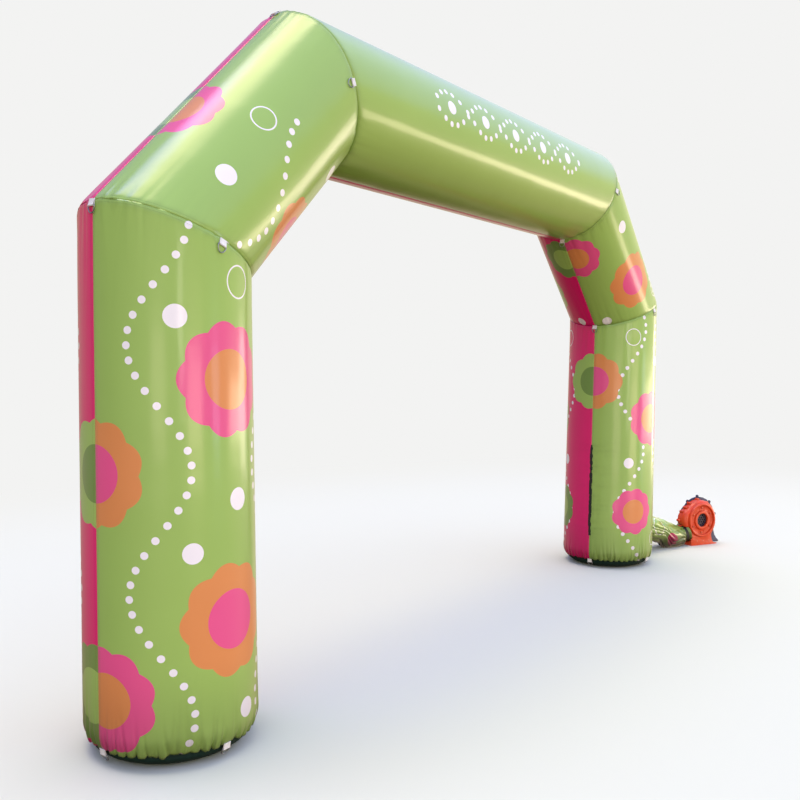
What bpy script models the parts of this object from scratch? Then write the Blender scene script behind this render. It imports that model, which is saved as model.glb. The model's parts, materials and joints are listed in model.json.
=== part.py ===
"""Inflatable welcome arch with its air sleeve and blower, in metres, +Z up.

The arch is one air-filled tube of five straight lengths: two legs, two sloping shoulders and a
beam. Each length is two half-tube panels, front and back, sewn together along the outer and the
inner edge of the arch and mitred to the next length. A black cap closes each leg and lies flat on
the ground. Webbing loops sewn into the mitres and the cap seams carry steel D-rings. A printed
sleeve leads air from a moulded snail blower into the right leg.

The arch is drawn about its own middle, and the whole object is then moved so that the origin is
the middle of its footprint, on the ground.
"""
import math

import bmesh
import bpy
from mathutils import Matrix, Vector

# ---------------------------------------------------------------- the arch
TUBE_R = 0.375            # radius of the inflated tube
LEG_X = 2.45              # leg axis from the middle of the arch
BEAM_HALF = 1.595         # half the beam, along its axis, to the upper mitre
KNEE_Z = 2.25             # lower mitre on the tube axis
BEAM_Z = 3.13             # beam axis above the ground
CLOTH = 0.002             # coated cloth
GAP = 0.0003              # between pieces that touch
HALF_FACETS = 20          # facets round each half-tube

# ---------------------------------------------------------------- the foot of a leg
FOOT_R = 0.388            # the leg swells a little towards the ground
LEAN = 0.022              # and its axis leans in towards the archway
TAPER_TOP_Z = 2.00        # where the swelling and the lean end
TURN_IN = 0.137           # how far the rounded foot turns in under the leg
TURN_UP = 0.143           # height of that rounding
CAP_ANGLE = math.radians(61.0)   # where the black cap ends on the rounding
TURN_STEPS = 4            # facets of the panel's part of the rounding
CAP_STEPS = 5             # facets of the cap's part
CAP_CLOTH = 0.003         # heavy black base cloth

# ---------------------------------------------------------------- webbing loops and D-rings
WEB_WIDTH = 0.038
WEB_THICK = 0.0015
WEB_DROP = 0.026          # from the seam to the D-ring's bar
WEB_START = 0.004         # below the stitched seam
WEB_LIFT = 0.0024         # middle of the two layers off the cloth, at the seam
RING_LIFT = 0.007         # the D-ring's plane off the cloth
WIRE_R = 0.0024
RING_HALF = 0.0225        # half the bar, to the wire's middle
RING_DEPTH = 0.033        # bar to the far side of the bow
BAR_PLAY = 0.0006         # between wire and webbing
LAYER_PLAY = 0.0002       # from the webbing's middle plane to each of its two layers
WRAP_HALF = math.radians(130.0)  # half of the webbing's turn round the bar
WRAP_STEPS = 8
WRAP_CORNER = 0.5         # least cosine at which the webbing's outline is mitred
BOW_CORNER = 0.4          # and the wire's
BOW_STEPS = 10
WIRE_SIDES = 6
SEAM_STEP = 0.02          # turn down the rounded foot that gives a loop its direction

# ---------------------------------------------------------------- zip on the right leg's inner seam
ZIP_LOW = 0.283
ZIP_HIGH = 1.069
ZIP_HALF = 0.014
ZIP_LIFT = 0.0005
ZIP_THICK = 0.0015
ZIP_FACETS = 4

# ---------------------------------------------------------------- blower, in its own frame
# Its own frame stands on the ground under the drum, with the inlet facing -Y and the outlet -X.
BLOWER_X = 3.70
BLOWER_Y = -0.37
BLOWER_TURN = math.radians(-28.0)
HUB_Z = 0.25
DRUM_FRONT = -0.080
DRUM_SPLIT = 0.010        # front and rear mouldings meet here
DRUM_ROUND = 0.040        # rounding of the drum's front edge
SCROLL_STEPS = 24
SCROLL_END = math.radians(-90.0)
FRONT_START = math.radians(140.0)  # the front moulding's scroll, clockwise from here
FRONT_SMALL = 0.182
FRONT_LARGE = 0.225
# Across and up, of the bulge over the outlet where the front's scroll begins.
TONGUE = ((-0.205, 0.190), (-0.224, 0.245), (-0.214, 0.300), (-0.183, 0.342))
# Across and up, of the skirts under the two mouldings.
FRONT_SKIRT = ((0.135, 0.190), (0.136, 0.085), (0.145, 0.045), (0.165, 0.018),
               (0.208, 0.009), (0.208, 0.0), (-0.120, 0.0), (-0.120, 0.120))
REAR_SKIRT = ((0.150, 0.190), (0.245, 0.140), (0.264, 0.075), (0.290, 0.035),
              (0.318, 0.014), (0.318, 0.0), (-0.120, 0.0), (-0.120, 0.120))
SKIRT_FRONT = -0.078
SKIRT_BACK = 0.095
REAR_START = math.radians(215.0)   # the rear moulding's flange grows faster
REAR_SMALL = 0.140
REAR_LARGE = 0.318
FLANGE_BACK = 0.022
CHAMBER_R = 0.160
CHAMBER_WALL = 0.008
OUTLET_X = -0.060         # where the outlet's axis starts inside the drum
OUTLET_Y = 0.007
OUTLET_Z = 0.158
OUTLET_DIP = math.radians(20.0)  # the outlet points a little down
OUTLET_LENGTH = 0.200
OUTLET_R = 0.086
OUTLET_BORE = 0.078
# Radius and distance back, of the rear moulding's bowl.
BOWL = ((0.170, 0.046), (0.152, 0.072), (0.118, 0.096))
BOWL_WALL = 0.010
INLET_R = 0.066
INLET_PLATE_R = 0.165
INLET_SEAT = 0.072        # hole in the drum's front, behind the plate
LIP_R = 0.094             # outside of the ring round the inlet
CHANNEL_IN = 0.098
CHANNEL_OUT = 0.144
RIM_HEIGHT = 0.018        # outer ring of the inlet plate
CHANNEL_HEIGHT = 0.007    # floor of the channel that the screws stand in
LIP_HEIGHT = 0.015        # ring round the inlet
LIP_ROUND = 0.003         # rounding of the inlet's edge, and its slope
LIP_SLOPE = 0.004
RIM_ROUND = 0.006         # rounding of the plate's outer edge, and its drop
RIM_DROP = 0.007
GUARD_THICK = 0.004
GUARD_DEPTH = 0.010       # guard behind the drum's front face
GUARD_HOLE_R = 0.0092
GUARD_PITCH = 0.024
GUARD_RINGS = ((0, 1), (1, 6), (2, 12))   # pitches out from the middle, holes at that distance
GUARD_HOLE_SIDES = 8
MOTOR_R = 0.084
MOTOR_BACK = 0.128
MOTOR_EDGE = 0.012
GLAND_Y = 0.111           # cable gland on the motor housing's rim: its axis,
GLAND_TURN = math.radians(-25.0)   # where it points, seen from the front,
GLAND_ROOT = 0.020        # how far it runs into the housing,
GLAND_NUT = (0.0125, 0.007)        # radius and length of its nut,
GLAND_NECK = (0.0090, 0.016)       # and of its neck, from the rim
ROUND_SIDES = 40
NEAR_AXIS = 0.0001        # radius of a turned piece's pole before its points are merged

# ---------------------------------------------------------------- air sleeve
# Distances along the outlet are from the start of its axis.
SLEEVE_SIDES = 32
CUFF_R = 0.101            # loose end of the sleeve, between the strap and the drum
CUFF_END = 0.078
CUFF_CLEAR_R = 0.106      # the drum is cut back to this round the loose end
CUFF_CLEAR = 0.070
STRAP_NEAR = 0.100
STRAP_FAR = 0.134
STRAP_THICK = 0.002
STRAP_PLAY = 0.0009       # between the outlet's pipe and the strap, less the cloth
TIE_RUN = 0.004           # the sleeve narrows this far before the strap
FLARE_RUN = 0.008         # the loose end opens to its edge over this length
FLARE_STEP = 0.002        # and by this much in radius
NECK = 0.168              # where the sleeve is full again
NECK_R = 0.105
# Share of the way from the leg to the neck, height of the middle, radius.
SLEEVE_COURSE = ((0.00, 0.250, 0.135), (0.20, 0.238, 0.134), (0.42, 0.217, 0.130),
                 (0.60, 0.182, 0.117), (0.75, 0.126, 0.124), (0.90, 0.103, 0.107))

# ---------------------------------------------------------------- finishes
# Linear colour, roughness, metallic.
FINISHES = {
    "green_print": ((0.35, 0.52, 0.15), 0.3, 0.0),
    "pink_print": ((0.58, 0.04, 0.17), 0.3, 0.0),
    "black_base_cloth": ((0.01, 0.012, 0.02), 0.6, 0.0),
    "white_webbing": ((0.8, 0.8, 0.82), 0.8, 0.0),
    "ring_steel": ((0.6, 0.6, 0.62), 0.3, 1.0),
    "orange_plastic": ((0.83, 0.12, 0.03), 0.4, 0.0),
    "dark_plastic": ((0.05, 0.06, 0.08), 0.5, 0.0),
}

UP = Vector((0.0, 0.0, 1.0))
FRONT = Vector((0.0, -1.0, 0.0))


def clear_scene():
    """Remove every object, so that the model stands alone."""
    for obj in list(bpy.data.objects):
        bpy.data.objects.remove(obj, do_unlink=True)


def material(name, colour, roughness, metallic):
    """A plain finish for one kind of piece."""
    mat = bpy.data.materials.new(name)
    mat.use_nodes = True
    shader = mat.node_tree.nodes["Principled BSDF"]
    shader.inputs["Base Color"].default_value = (*colour, 1.0)
    shader.inputs["Roughness"].default_value = roughness
    shader.inputs["Metallic"].default_value = metallic
    return mat


def face_outwards(bm):
    """Turn the faces of a closed bmesh outwards."""
    bmesh.ops.recalc_face_normals(bm, faces=bm.faces)
    if bm.calc_volume(signed=True) < 0:
        bmesh.ops.reverse_faces(bm, faces=bm.faces)


def add_object(name, bm, mat, smooth_deg=30.0):
    """Close a bmesh into an object with outward faces and its own material."""
    face_outwards(bm)
    mesh = bpy.data.meshes.new(name)
    bm.to_mesh(mesh)
    bm.free()
    mesh.materials.append(mat)
    mesh.shade_smooth()
    mesh.set_sharp_from_angle(angle=math.radians(smooth_deg))
    obj = bpy.data.objects.new(name, mesh)
    bpy.context.scene.collection.objects.link(obj)
    return obj


def shell(outer, inner, wrap=False):
    """A thin wall between two grids of points, closed along its open edges.

    Each grid is a list of rows. With wrap, a row's last point joins its first.
    """
    bm = bmesh.new()
    out = [[bm.verts.new(p) for p in row] for row in outer]
    inn = [[bm.verts.new(p) for p in row] for row in inner]
    rows, cols = len(outer), len(outer[0])
    steps = cols if wrap else cols - 1
    for i in range(rows - 1):
        for j in range(steps):
            k = (j + 1) % cols
            bm.faces.new((out[i][j], out[i][k], out[i + 1][k], out[i + 1][j]))
            bm.faces.new((inn[i][j], inn[i + 1][j], inn[i + 1][k], inn[i][k]))
    for j in range(steps):
        k = (j + 1) % cols
        bm.faces.new((out[0][j], inn[0][j], inn[0][k], out[0][k]))
        bm.faces.new((out[-1][j], out[-1][k], inn[-1][k], inn[-1][j]))
    if not wrap:
        for i in range(rows - 1):
            bm.faces.new((out[i][0], out[i + 1][0], inn[i + 1][0], inn[i][0]))
            bm.faces.new((out[i][-1], inn[i][-1], inn[i + 1][-1], out[i + 1][-1]))
    return bm


# ------------------------------------------------------------------------- the arch's lines
CORNERS = [Vector(p) for p in ((-LEG_X, 0, 0), (-LEG_X, 0, KNEE_Z), (-BEAM_HALF, 0, BEAM_Z),
                               (BEAM_HALF, 0, BEAM_Z), (LEG_X, 0, KNEE_Z), (LEG_X, 0, 0))]
LENGTHS = ("leg_left", "shoulder_left", "beam", "shoulder_right", "leg_right")
ALONG = [(CORNERS[i + 1] - CORNERS[i]).normalized() for i in range(5)]
OUTWARD = [Vector((-d.z, 0, d.x)) for d in ALONG]       # away from the archway


def mitre_normal(corner):
    """Normal of the mitre plane at a corner, along the arch."""
    return (ALONG[corner - 1] + ALONG[corner]).normalized()


def leg_radius(z):
    """Radius of a leg at a height above the rounded foot."""
    share = min(max((z - TURN_UP) / (TAPER_TOP_Z - TURN_UP), 0.0), 1.0)
    return FOOT_R + (TUBE_R - FOOT_R) * share


def foot_point(angle, depth=0.0):
    """Radius and height on the rounded foot, and depth inside its surface."""
    radius = FOOT_R - TURN_IN * (1.0 - math.sin(angle))
    height = TURN_UP * (1.0 - math.cos(angle))
    normal = Vector((math.sin(angle) / TURN_IN, -math.cos(angle) / TURN_UP)).normalized()
    return radius - depth * normal.x, height - depth * normal.y


def leg_axis(side_x, z):
    """Place of a leg's axis along X; side_x is -1 on the left and 1 on the right."""
    share = min(max((TAPER_TOP_Z - z) / (TAPER_TOP_Z - TURN_UP), 0.0), 1.0)
    return side_x * (LEG_X - LEAN * share)


def round_offset(outward, side, angle, radius):
    """A point's offset from the tube's axis; side is -1 at the front and 1 at the back."""
    return outward * (radius * math.cos(angle)) + Vector((0, side * radius * math.sin(angle), 0))


def mitre_row(length, corner, side, radius):
    """Points round a half-tube where it is cut on a mitre plane."""
    normal = mitre_normal(corner)
    along = ALONG[length]
    back_off = GAP / 2 if corner == length else -GAP / 2
    row = []
    for j in range(HALF_FACETS + 1):
        point = round_offset(OUTWARD[length], side, math.pi * j / HALF_FACETS, radius)
        slide = (back_off - point.dot(normal)) / along.dot(normal)
        row.append(CORNERS[corner] + point + along * slide + Vector((0, side * GAP / 2, 0)))
    return row


def level_row(length, side, radius, height):
    """Points round a leg's half-tube at one height."""
    middle = Vector((leg_axis(-1 if length == 0 else 1, height), side * GAP / 2, height))
    return [middle + round_offset(OUTWARD[length], side, math.pi * j / HALF_FACETS, radius)
            for j in range(HALF_FACETS + 1)]


def leg_rows(length, side, depth):
    """Rows of a leg panel from its cap seam up to the mitre."""
    start = CAP_ANGLE + GAP / TURN_UP
    rows = []
    for i in range(TURN_STEPS + 1):
        angle = start + (math.pi / 2 - start) * i / TURN_STEPS
        radius, height = foot_point(angle, depth)
        rows.append(level_row(length, side, radius, height))
    rows.append(level_row(length, side, TUBE_R - depth, TAPER_TOP_Z))
    rows.append(mitre_row(length, 1 if length == 0 else 4, side, TUBE_R - depth))
    return rows


def panel(length, side, mat):
    """One half-tube panel of the arch."""
    name = f"{LENGTHS[length]}_{'front' if side < 0 else 'back'}"
    if length in (0, 4):
        grids = [leg_rows(length, side, depth) for depth in (0.0, CLOTH)]
    else:
        grids = [[mitre_row(length, c, side, TUBE_R - depth) for c in (length, length + 1)]
                 for depth in (0.0, CLOTH)]
    return add_object(name, shell(*grids), mat)


def base_cap(name, centre_x, mat):
    """The black cap under a leg: a flat disc whose edge curves up to the panels."""
    sides = 2 * HALF_FACETS
    rows = {}
    for depth in (0.0, CAP_CLOTH):
        rows[depth] = []
        for i in range(CAP_STEPS + 1):
            radius, height = foot_point(CAP_ANGLE * i / CAP_STEPS, depth)
            ring = [Vector((centre_x + radius * math.cos(2 * math.pi * j / sides),
                            radius * math.sin(2 * math.pi * j / sides), height))
                    for j in range(sides)]
            rows[depth].append(ring)
    bm = bmesh.new()
    grids = [[[bm.verts.new(p) for p in row] for row in rows[d]] for d in (0.0, CAP_CLOTH)]
    for grid in grids:
        for low, high in zip(grid, grid[1:]):
            for j in range(sides):
                k = (j + 1) % sides
                bm.faces.new((low[j], low[k], high[k], high[j]))
        bm.faces.new(grid[0])
    for j in range(sides):
        k = (j + 1) % sides
        bm.faces.new((grids[0][-1][j], grids[0][-1][k], grids[1][-1][k], grids[1][-1][j]))
    return add_object(name, bm, mat)


# ------------------------------------------------------------------------- webbing and rings
def frame_matrix(origin, down, out):
    """Local X across the webbing, Y down it and Z off the cloth."""
    down = down.normalized()
    out = (out - down * out.dot(down)).normalized()
    across = down.cross(out)
    return Matrix.Translation(origin) @ Matrix((across, down, out)).transposed().to_4x4()


def web_path():
    """Middle line of the webbing: down, round the bar and up again."""
    eye = WIRE_R + BAR_PLAY + WEB_THICK / 2
    half = WEB_THICK / 2 + LAYER_PLAY
    path = [(WEB_START, WEB_LIFT - half)]
    for i in range(WRAP_STEPS + 1):
        angle = WRAP_HALF * (2 * i / WRAP_STEPS - 1)
        path.append((WEB_DROP + eye * math.cos(angle), RING_LIFT + eye * math.sin(angle)))
    path.append((WEB_START, WEB_LIFT + half))
    return [Vector(p) for p in path]


def thick_outline(path, thickness):
    """Outline of a ribbon with the given middle line."""
    left, right = [], []
    for i, point in enumerate(path):
        before = (point - path[i - 1]).normalized() if i else None
        after = (path[i + 1] - point).normalized() if i + 1 < len(path) else None
        tangent = (before or after) + (after or before)
        tangent.normalize()
        normal = Vector((-tangent.y, tangent.x))
        leaving = after or before
        stretch = 1.0 / max(normal.dot(Vector((-leaving.y, leaving.x))), WRAP_CORNER)
        left.append(point + normal * (thickness / 2 * stretch))
        right.append(point - normal * (thickness / 2 * stretch))
    return left + right[::-1]


def webbing_loop(name, place, mat):
    """One strip of webbing folded round the ring's bar."""
    bm = bmesh.new()
    outline = thick_outline(web_path(), WEB_THICK)
    face = bm.faces.new([bm.verts.new((-WEB_WIDTH / 2, p.x, p.y)) for p in outline])
    grown = bmesh.ops.extrude_face_region(bm, geom=[face])
    moved = [v for v in grown["geom"] if isinstance(v, bmesh.types.BMVert)]
    bmesh.ops.translate(bm, verts=moved, vec=(WEB_WIDTH, 0, 0))
    bm.transform(place)
    return add_object(name, bm, mat)


def ring_path():
    """Middle line of the D-ring's wire, in its own plane."""
    turns = [math.pi * i / BOW_STEPS for i in range(BOW_STEPS + 1)]
    return [Vector((RING_HALF * math.cos(turn), RING_DEPTH * math.sin(turn))) for turn in turns]


def d_ring(name, place, mat):
    """A steel D-ring: a straight bar and a bow, of round wire."""
    path = ring_path()
    count = len(path)
    bm = bmesh.new()
    rings = []
    for i, point in enumerate(path):
        before = (point - path[i - 1]).normalized()
        after = (path[(i + 1) % count] - point).normalized()
        normal = (Vector((-before.y, before.x)) + Vector((-after.y, after.x))).normalized()
        stretch = 1.0 / max(normal.dot(Vector((-after.y, after.x))), BOW_CORNER)
        ring = []
        for j in range(WIRE_SIDES):
            angle = 2 * math.pi * (j + 0.5) / WIRE_SIDES
            flat = point + normal * (WIRE_R * stretch * math.cos(angle))
            ring.append(bm.verts.new((flat.x, WEB_DROP + flat.y,
                                      RING_LIFT + WIRE_R * math.sin(angle))))
        rings.append(ring)
    for i in range(count):
        low, high = rings[i], rings[(i + 1) % count]
        for j in range(WIRE_SIDES):
            k = (j + 1) % WIRE_SIDES
            bm.faces.new((low[j], low[k], high[k], high[j]))
    bm.transform(place)
    return add_object(name, bm, mat, 50.0)


def edge_corner(corner, sign):
    """Point of a mitre on the arch's outer (1) or inner (-1) edge."""
    bisector = (OUTWARD[corner - 1] + OUTWARD[corner]).normalized()
    return CORNERS[corner] + bisector * (sign * TUBE_R / bisector.dot(OUTWARD[corner]))


def mitre_places():
    """Name and frame of each webbing loop that is sewn into a mitre."""
    corner_names = {1: "knee_left", 2: "beam_left", 3: "beam_right", 4: "knee_right"}
    places = []
    for corner, name in corner_names.items():
        down = mitre_normal(corner) * (-1 if corner < 3 else 1)
        for side, word in ((-1, "front"), (1, "back")):
            out = Vector((0, side, 0))
            at = CORNERS[corner] + out * (TUBE_R + GAP / 2)
            places.append((f"{name}_{word}", frame_matrix(at, down, out)))
    for corner in (1, 2):
        places.append((f"{corner_names[corner]}_outer",
                       frame_matrix(edge_corner(corner, 1), -ALONG[corner - 1], OUTWARD[corner - 1])))
    for corner in (3, 4):
        places.append((f"{corner_names[corner]}_inner",
                       frame_matrix(edge_corner(corner, -1), -UP, Vector((-1, 0, 0)))))
    return places


def foot_places():
    """Name and frame of each webbing loop that is sewn into a cap seam."""
    radius, height = foot_point(CAP_ANGLE)
    lower_r, lower_z = foot_point(CAP_ANGLE - SEAM_STEP)
    places = []
    for leg, outer in (("foot_left", -1), ("foot_right", 1)):
        for word, way in (("front", FRONT), ("back", -FRONT), ("outer", Vector((outer, 0, 0))),
                          ("inner", Vector((-outer, 0, 0)))):
            at = Vector((leg_axis(outer, 0.0), 0, 0)) + way * radius + UP * height
            down = way * (lower_r - radius) + UP * (lower_z - height)
            places.append((f"{leg}_{word}", frame_matrix(at, down, way)))
    return places


def zip_strip(mat):
    """The zip's closed tape on the right leg's inner seam."""
    grids = []
    for lift in (ZIP_LIFT + ZIP_THICK, ZIP_LIFT):
        rows = []
        for z in (ZIP_LOW, ZIP_HIGH):
            radius = leg_radius(z) + lift
            spread = ZIP_HALF / radius
            angles = [math.pi - spread + 2 * spread * j / ZIP_FACETS for j in range(ZIP_FACETS + 1)]
            rows.append([Vector((leg_axis(1, z) + radius * math.cos(a), radius * math.sin(a), z))
                         for a in angles])
        grids.append(rows)
    return add_object("zip", shell(*grids), mat)


# ------------------------------------------------------------------------- blower
def blower_matrix():
    """Place of the blower's own frame."""
    return Matrix.Translation((BLOWER_X, BLOWER_Y, 0)) @ Matrix.Rotation(BLOWER_TURN, 4, "Z")


def outlet_point(distance):
    """A point on the outlet's axis, in the blower's own frame."""
    return Vector((OUTLET_X - distance * math.cos(OUTLET_DIP), OUTLET_Y,
                   OUTLET_Z - distance * math.sin(OUTLET_DIP)))


def prism(outline, near, far):
    """A prism along Y from an outline of X and Z pairs."""
    bm = bmesh.new()
    face = bm.faces.new([bm.verts.new((x, near, z)) for x, z in outline])
    grown = bmesh.ops.extrude_face_region(bm, geom=[face])
    moved = [v for v in grown["geom"] if isinstance(v, bmesh.types.BMVert)]
    bmesh.ops.translate(bm, verts=moved, vec=(0, far - near, 0))
    face_outwards(bm)
    return bm


def cylinder(radius, start, end, sides=ROUND_SIDES):
    """A closed cylinder between two points."""
    start, end = Vector(start), Vector(end)
    bm = bmesh.new()
    bmesh.ops.create_cone(bm, cap_ends=True, segments=sides, radius1=radius, radius2=radius,
                          depth=(end - start).length)
    turn = UP.rotation_difference((end - start).normalized()).to_matrix().to_4x4()
    bm.transform(Matrix.Translation((start + end) / 2) @ turn)
    return bm


def along_outlet(radius, start, end):
    """A closed cylinder on the outlet's axis."""
    return cylinder(radius, outlet_point(start), outlet_point(end), SLEEVE_SIDES)


def lathe(profile, sides=ROUND_SIDES):
    """A ring turned about the hub's axis from a closed profile of radius and Y pairs."""
    bm = bmesh.new()
    rings = [[bm.verts.new((r * math.cos(2 * math.pi * j / sides), y,
                            HUB_Z + r * math.sin(2 * math.pi * j / sides)))
              for j in range(sides)] for r, y in profile]
    for i, ring in enumerate(rings):
        after = rings[(i + 1) % len(rings)]
        for j in range(sides):
            k = (j + 1) % sides
            bm.faces.new((ring[j], ring[k], after[k], after[j]))
    return bm


def cut_or_join(obj, bm, operation):
    """Apply an exact Boolean of a closed bmesh to an object."""
    face_outwards(bm)
    mesh = bpy.data.meshes.new("tool")
    bm.to_mesh(mesh)
    bm.free()
    tool = bpy.data.objects.new("tool", mesh)
    bpy.context.scene.collection.objects.link(tool)
    modifier = obj.modifiers.new("cut", "BOOLEAN")
    modifier.operation = operation
    modifier.object = tool
    modifier.solver = "EXACT"
    graph = bpy.context.evaluated_depsgraph_get()
    result = bpy.data.meshes.new_from_object(obj.evaluated_get(graph), depsgraph=graph)
    obj.modifiers.clear()
    obj.data = result
    bpy.data.objects.remove(tool, do_unlink=True)


def scroll(small, large, start):
    """Across and up, of a spiral that grows clockwise and stands on the ground."""
    points = []
    for i in range(SCROLL_STEPS + 1):
        share = i / SCROLL_STEPS
        angle = start + (SCROLL_END - start) * share
        radius = small + (large - small) * share
        points.append((radius * math.cos(angle), max(HUB_Z + radius * math.sin(angle), 0.0)))
    return points


def blower_front(mat):
    """Orange drum with its outlet and flared skirt, hollow behind the inlet."""
    bm = prism(list(TONGUE) + scroll(FRONT_SMALL, FRONT_LARGE, FRONT_START), DRUM_FRONT, DRUM_SPLIT)
    rim = [e for e in bm.edges if all(abs(v.co.y - DRUM_FRONT) < 1e-6 for v in e.verts)]
    bmesh.ops.bevel(bm, geom=rim, offset=DRUM_ROUND, segments=4, profile=0.5,
                    affect="EDGES", material=-1)
    drum = add_object("blower_drum", bm, mat)
    cut_or_join(drum, prism(FRONT_SKIRT, SKIRT_FRONT, DRUM_SPLIT), "UNION")
    cut_or_join(drum, along_outlet(CUFF_CLEAR_R, CUFF_CLEAR, 2 * OUTLET_LENGTH), "DIFFERENCE")
    cut_or_join(drum, along_outlet(OUTLET_R, 0.0, OUTLET_LENGTH), "UNION")
    cut_or_join(drum, cylinder(CHAMBER_R, (0, DRUM_FRONT + CHAMBER_WALL, HUB_Z),
                               (0, 2 * SKIRT_BACK, HUB_Z)), "DIFFERENCE")
    cut_or_join(drum, cylinder(INLET_SEAT, (0, 2 * DRUM_FRONT, HUB_Z), (0, 0, HUB_Z)),
                "DIFFERENCE")
    cut_or_join(drum, along_outlet(OUTLET_BORE, 0.0, 2 * OUTLET_LENGTH), "DIFFERENCE")
    drum.data.transform(blower_matrix())
    return drum


def blower_rear(mat):
    """Dark rear moulding: a flange that shows round the drum, a bowl and a skirt."""
    near = DRUM_SPLIT + GAP
    deepest = BOWL[-1][1]
    rear = add_object("blower_rear", prism(scroll(REAR_SMALL, REAR_LARGE, REAR_START),
                                           near, FLANGE_BACK), mat)
    bowl = lathe([(NEAR_AXIS, near + GAP), (BOWL[0][0], near + GAP), *BOWL, (NEAR_AXIS, deepest)])
    bmesh.ops.remove_doubles(bowl, verts=bowl.verts, dist=GAP)
    cut_or_join(rear, bowl, "UNION")
    cut_or_join(rear, prism(REAR_SKIRT, near, SKIRT_BACK), "UNION")
    for radius, back in BOWL:
        cut_or_join(rear, cylinder(radius - 2 * BOWL_WALL, (0, near - BOWL_WALL, HUB_Z),
                                   (0, back - BOWL_WALL, HUB_Z)), "DIFFERENCE")
    cut_or_join(rear, along_outlet(OUTLET_R + 2 * GAP, -2 * GAP, 2 * OUTLET_LENGTH), "DIFFERENCE")
    cut_or_join(rear, along_outlet(CUFF_CLEAR_R, CUFF_CLEAR, 2 * OUTLET_LENGTH), "DIFFERENCE")
    rear.data.transform(blower_matrix())
    return rear


def inlet_plate(mat):
    """Round plate screwed over the inlet, with two raised rings and a channel."""
    back = DRUM_FRONT - GAP
    lip, channel, rim = back - LIP_HEIGHT, back - CHANNEL_HEIGHT, back - RIM_HEIGHT
    profile = [(INLET_R, back), (INLET_R, lip + LIP_ROUND), (INLET_R + LIP_SLOPE, lip),
               (LIP_R, lip), (CHANNEL_IN, channel), (CHANNEL_OUT, channel),
               (CHANNEL_OUT + LIP_SLOPE, rim), (INLET_PLATE_R - RIM_ROUND, rim),
               (INLET_PLATE_R, rim + RIM_DROP), (INLET_PLATE_R, back)]
    plate = add_object("blower_inlet_plate", lathe(profile), mat)
    plate.data.transform(blower_matrix())
    return plate


def inlet_guard(mat):
    """Perforated guard seated in the drum's front, behind the plate."""
    near = DRUM_FRONT + GUARD_DEPTH
    bm = cylinder(INLET_SEAT - 2 * GAP, (0, near, HUB_Z), (0, near + GUARD_THICK, HUB_Z))
    guard = add_object("blower_inlet_guard", bm, mat)
    holes = bmesh.new()
    for ring, count in GUARD_RINGS:
        for i in range(count):
            angle = 2 * math.pi * i / count
            centre = (ring * GUARD_PITCH * math.cos(angle), 0,
                      HUB_Z + ring * GUARD_PITCH * math.sin(angle))
            hole = cylinder(GUARD_HOLE_R, (centre[0], near - GUARD_THICK, centre[2]),
                            (centre[0], near + 2 * GUARD_THICK, centre[2]), GUARD_HOLE_SIDES)
            hole_mesh = bpy.data.meshes.new("hole")
            hole.to_mesh(hole_mesh)
            hole.free()
            holes.from_mesh(hole_mesh)
            bpy.data.meshes.remove(hole_mesh)
    cut_or_join(guard, holes, "DIFFERENCE")
    guard.data.transform(blower_matrix())
    return guard


def motor(mat):
    """Round motor housing on the back of the bowl, with a gland for the lead on its rim."""
    seat = BOWL[-1][1] + GAP
    bm = lathe([(NEAR_AXIS, seat), (MOTOR_R, seat), (MOTOR_R, MOTOR_BACK - MOTOR_EDGE),
                (MOTOR_R - MOTOR_EDGE, MOTOR_BACK), (NEAR_AXIS, MOTOR_BACK)])
    bmesh.ops.remove_doubles(bm, verts=bm.verts, dist=GAP)
    housing = add_object("blower_motor", bm, mat)
    hub = Vector((0.0, GLAND_Y, HUB_Z))
    way = Vector((math.cos(GLAND_TURN), 0.0, math.sin(GLAND_TURN)))
    for radius, reach in (GLAND_NUT, GLAND_NECK):
        cut_or_join(housing, cylinder(radius, hub + way * (MOTOR_R - GLAND_ROOT),
                                      hub + way * (MOTOR_R + reach), SLEEVE_SIDES), "UNION")
    housing.data.transform(blower_matrix())
    return housing


# ------------------------------------------------------------------------- sleeve and strap
def outlet_axis(distance):
    """A point on the outlet's axis, in the arch's frame."""
    return blower_matrix() @ outlet_point(distance)


def ring_ways(along):
    """Two directions across a sleeve that runs along the third."""
    across = UP.cross(along).normalized()
    return across, along.cross(across).normalized()


def sleeve_stations():
    """Middle, radius and direction of the sleeve, from the leg to its loose end."""
    start = Vector((leg_axis(1, SLEEVE_COURSE[0][1]) + leg_radius(SLEEVE_COURSE[0][1]), 0.0, 0.0))
    neck = outlet_axis(NECK)
    run = Vector((neck.x - start.x, neck.y - start.y, 0.0)).normalized()
    into_outlet = (outlet_axis(0.0) - outlet_axis(1.0)).normalized()
    stations = []
    for share, height, radius in SLEEVE_COURSE:
        middle = start.lerp(neck, share)
        middle.z = height
        stations.append((middle, radius, run))
    tied_r = OUTLET_R + GAP + CLOTH
    for distance, radius in ((NECK, NECK_R), (STRAP_FAR + TIE_RUN, tied_r), (STRAP_NEAR, tied_r),
                             (CUFF_END + FLARE_RUN, CUFF_R - FLARE_STEP), (CUFF_END, CUFF_R)):
        stations.append((outlet_axis(distance), radius, into_outlet))
    return stations


def sleeve_rows(depth):
    """Rings of the sleeve, the first one lying on the leg, flat where they meet the ground."""
    rows = []
    for i, (middle, radius, along) in enumerate(sleeve_stations()):
        across, over = ring_ways(along)
        ring = []
        for j in range(SLEEVE_SIDES):
            angle = 2 * math.pi * j / SLEEVE_SIDES
            point = middle + (across * math.cos(angle) + over * math.sin(angle)) * (radius - depth)
            if i == 0:
                reach = leg_radius(point.z) + 2 * GAP
                point.x = leg_axis(1, point.z) + math.sqrt(reach ** 2 - point.y ** 2)
            point.z = max(point.z, depth)
            ring.append(point)
        rows.append(ring)
    return rows


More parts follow.
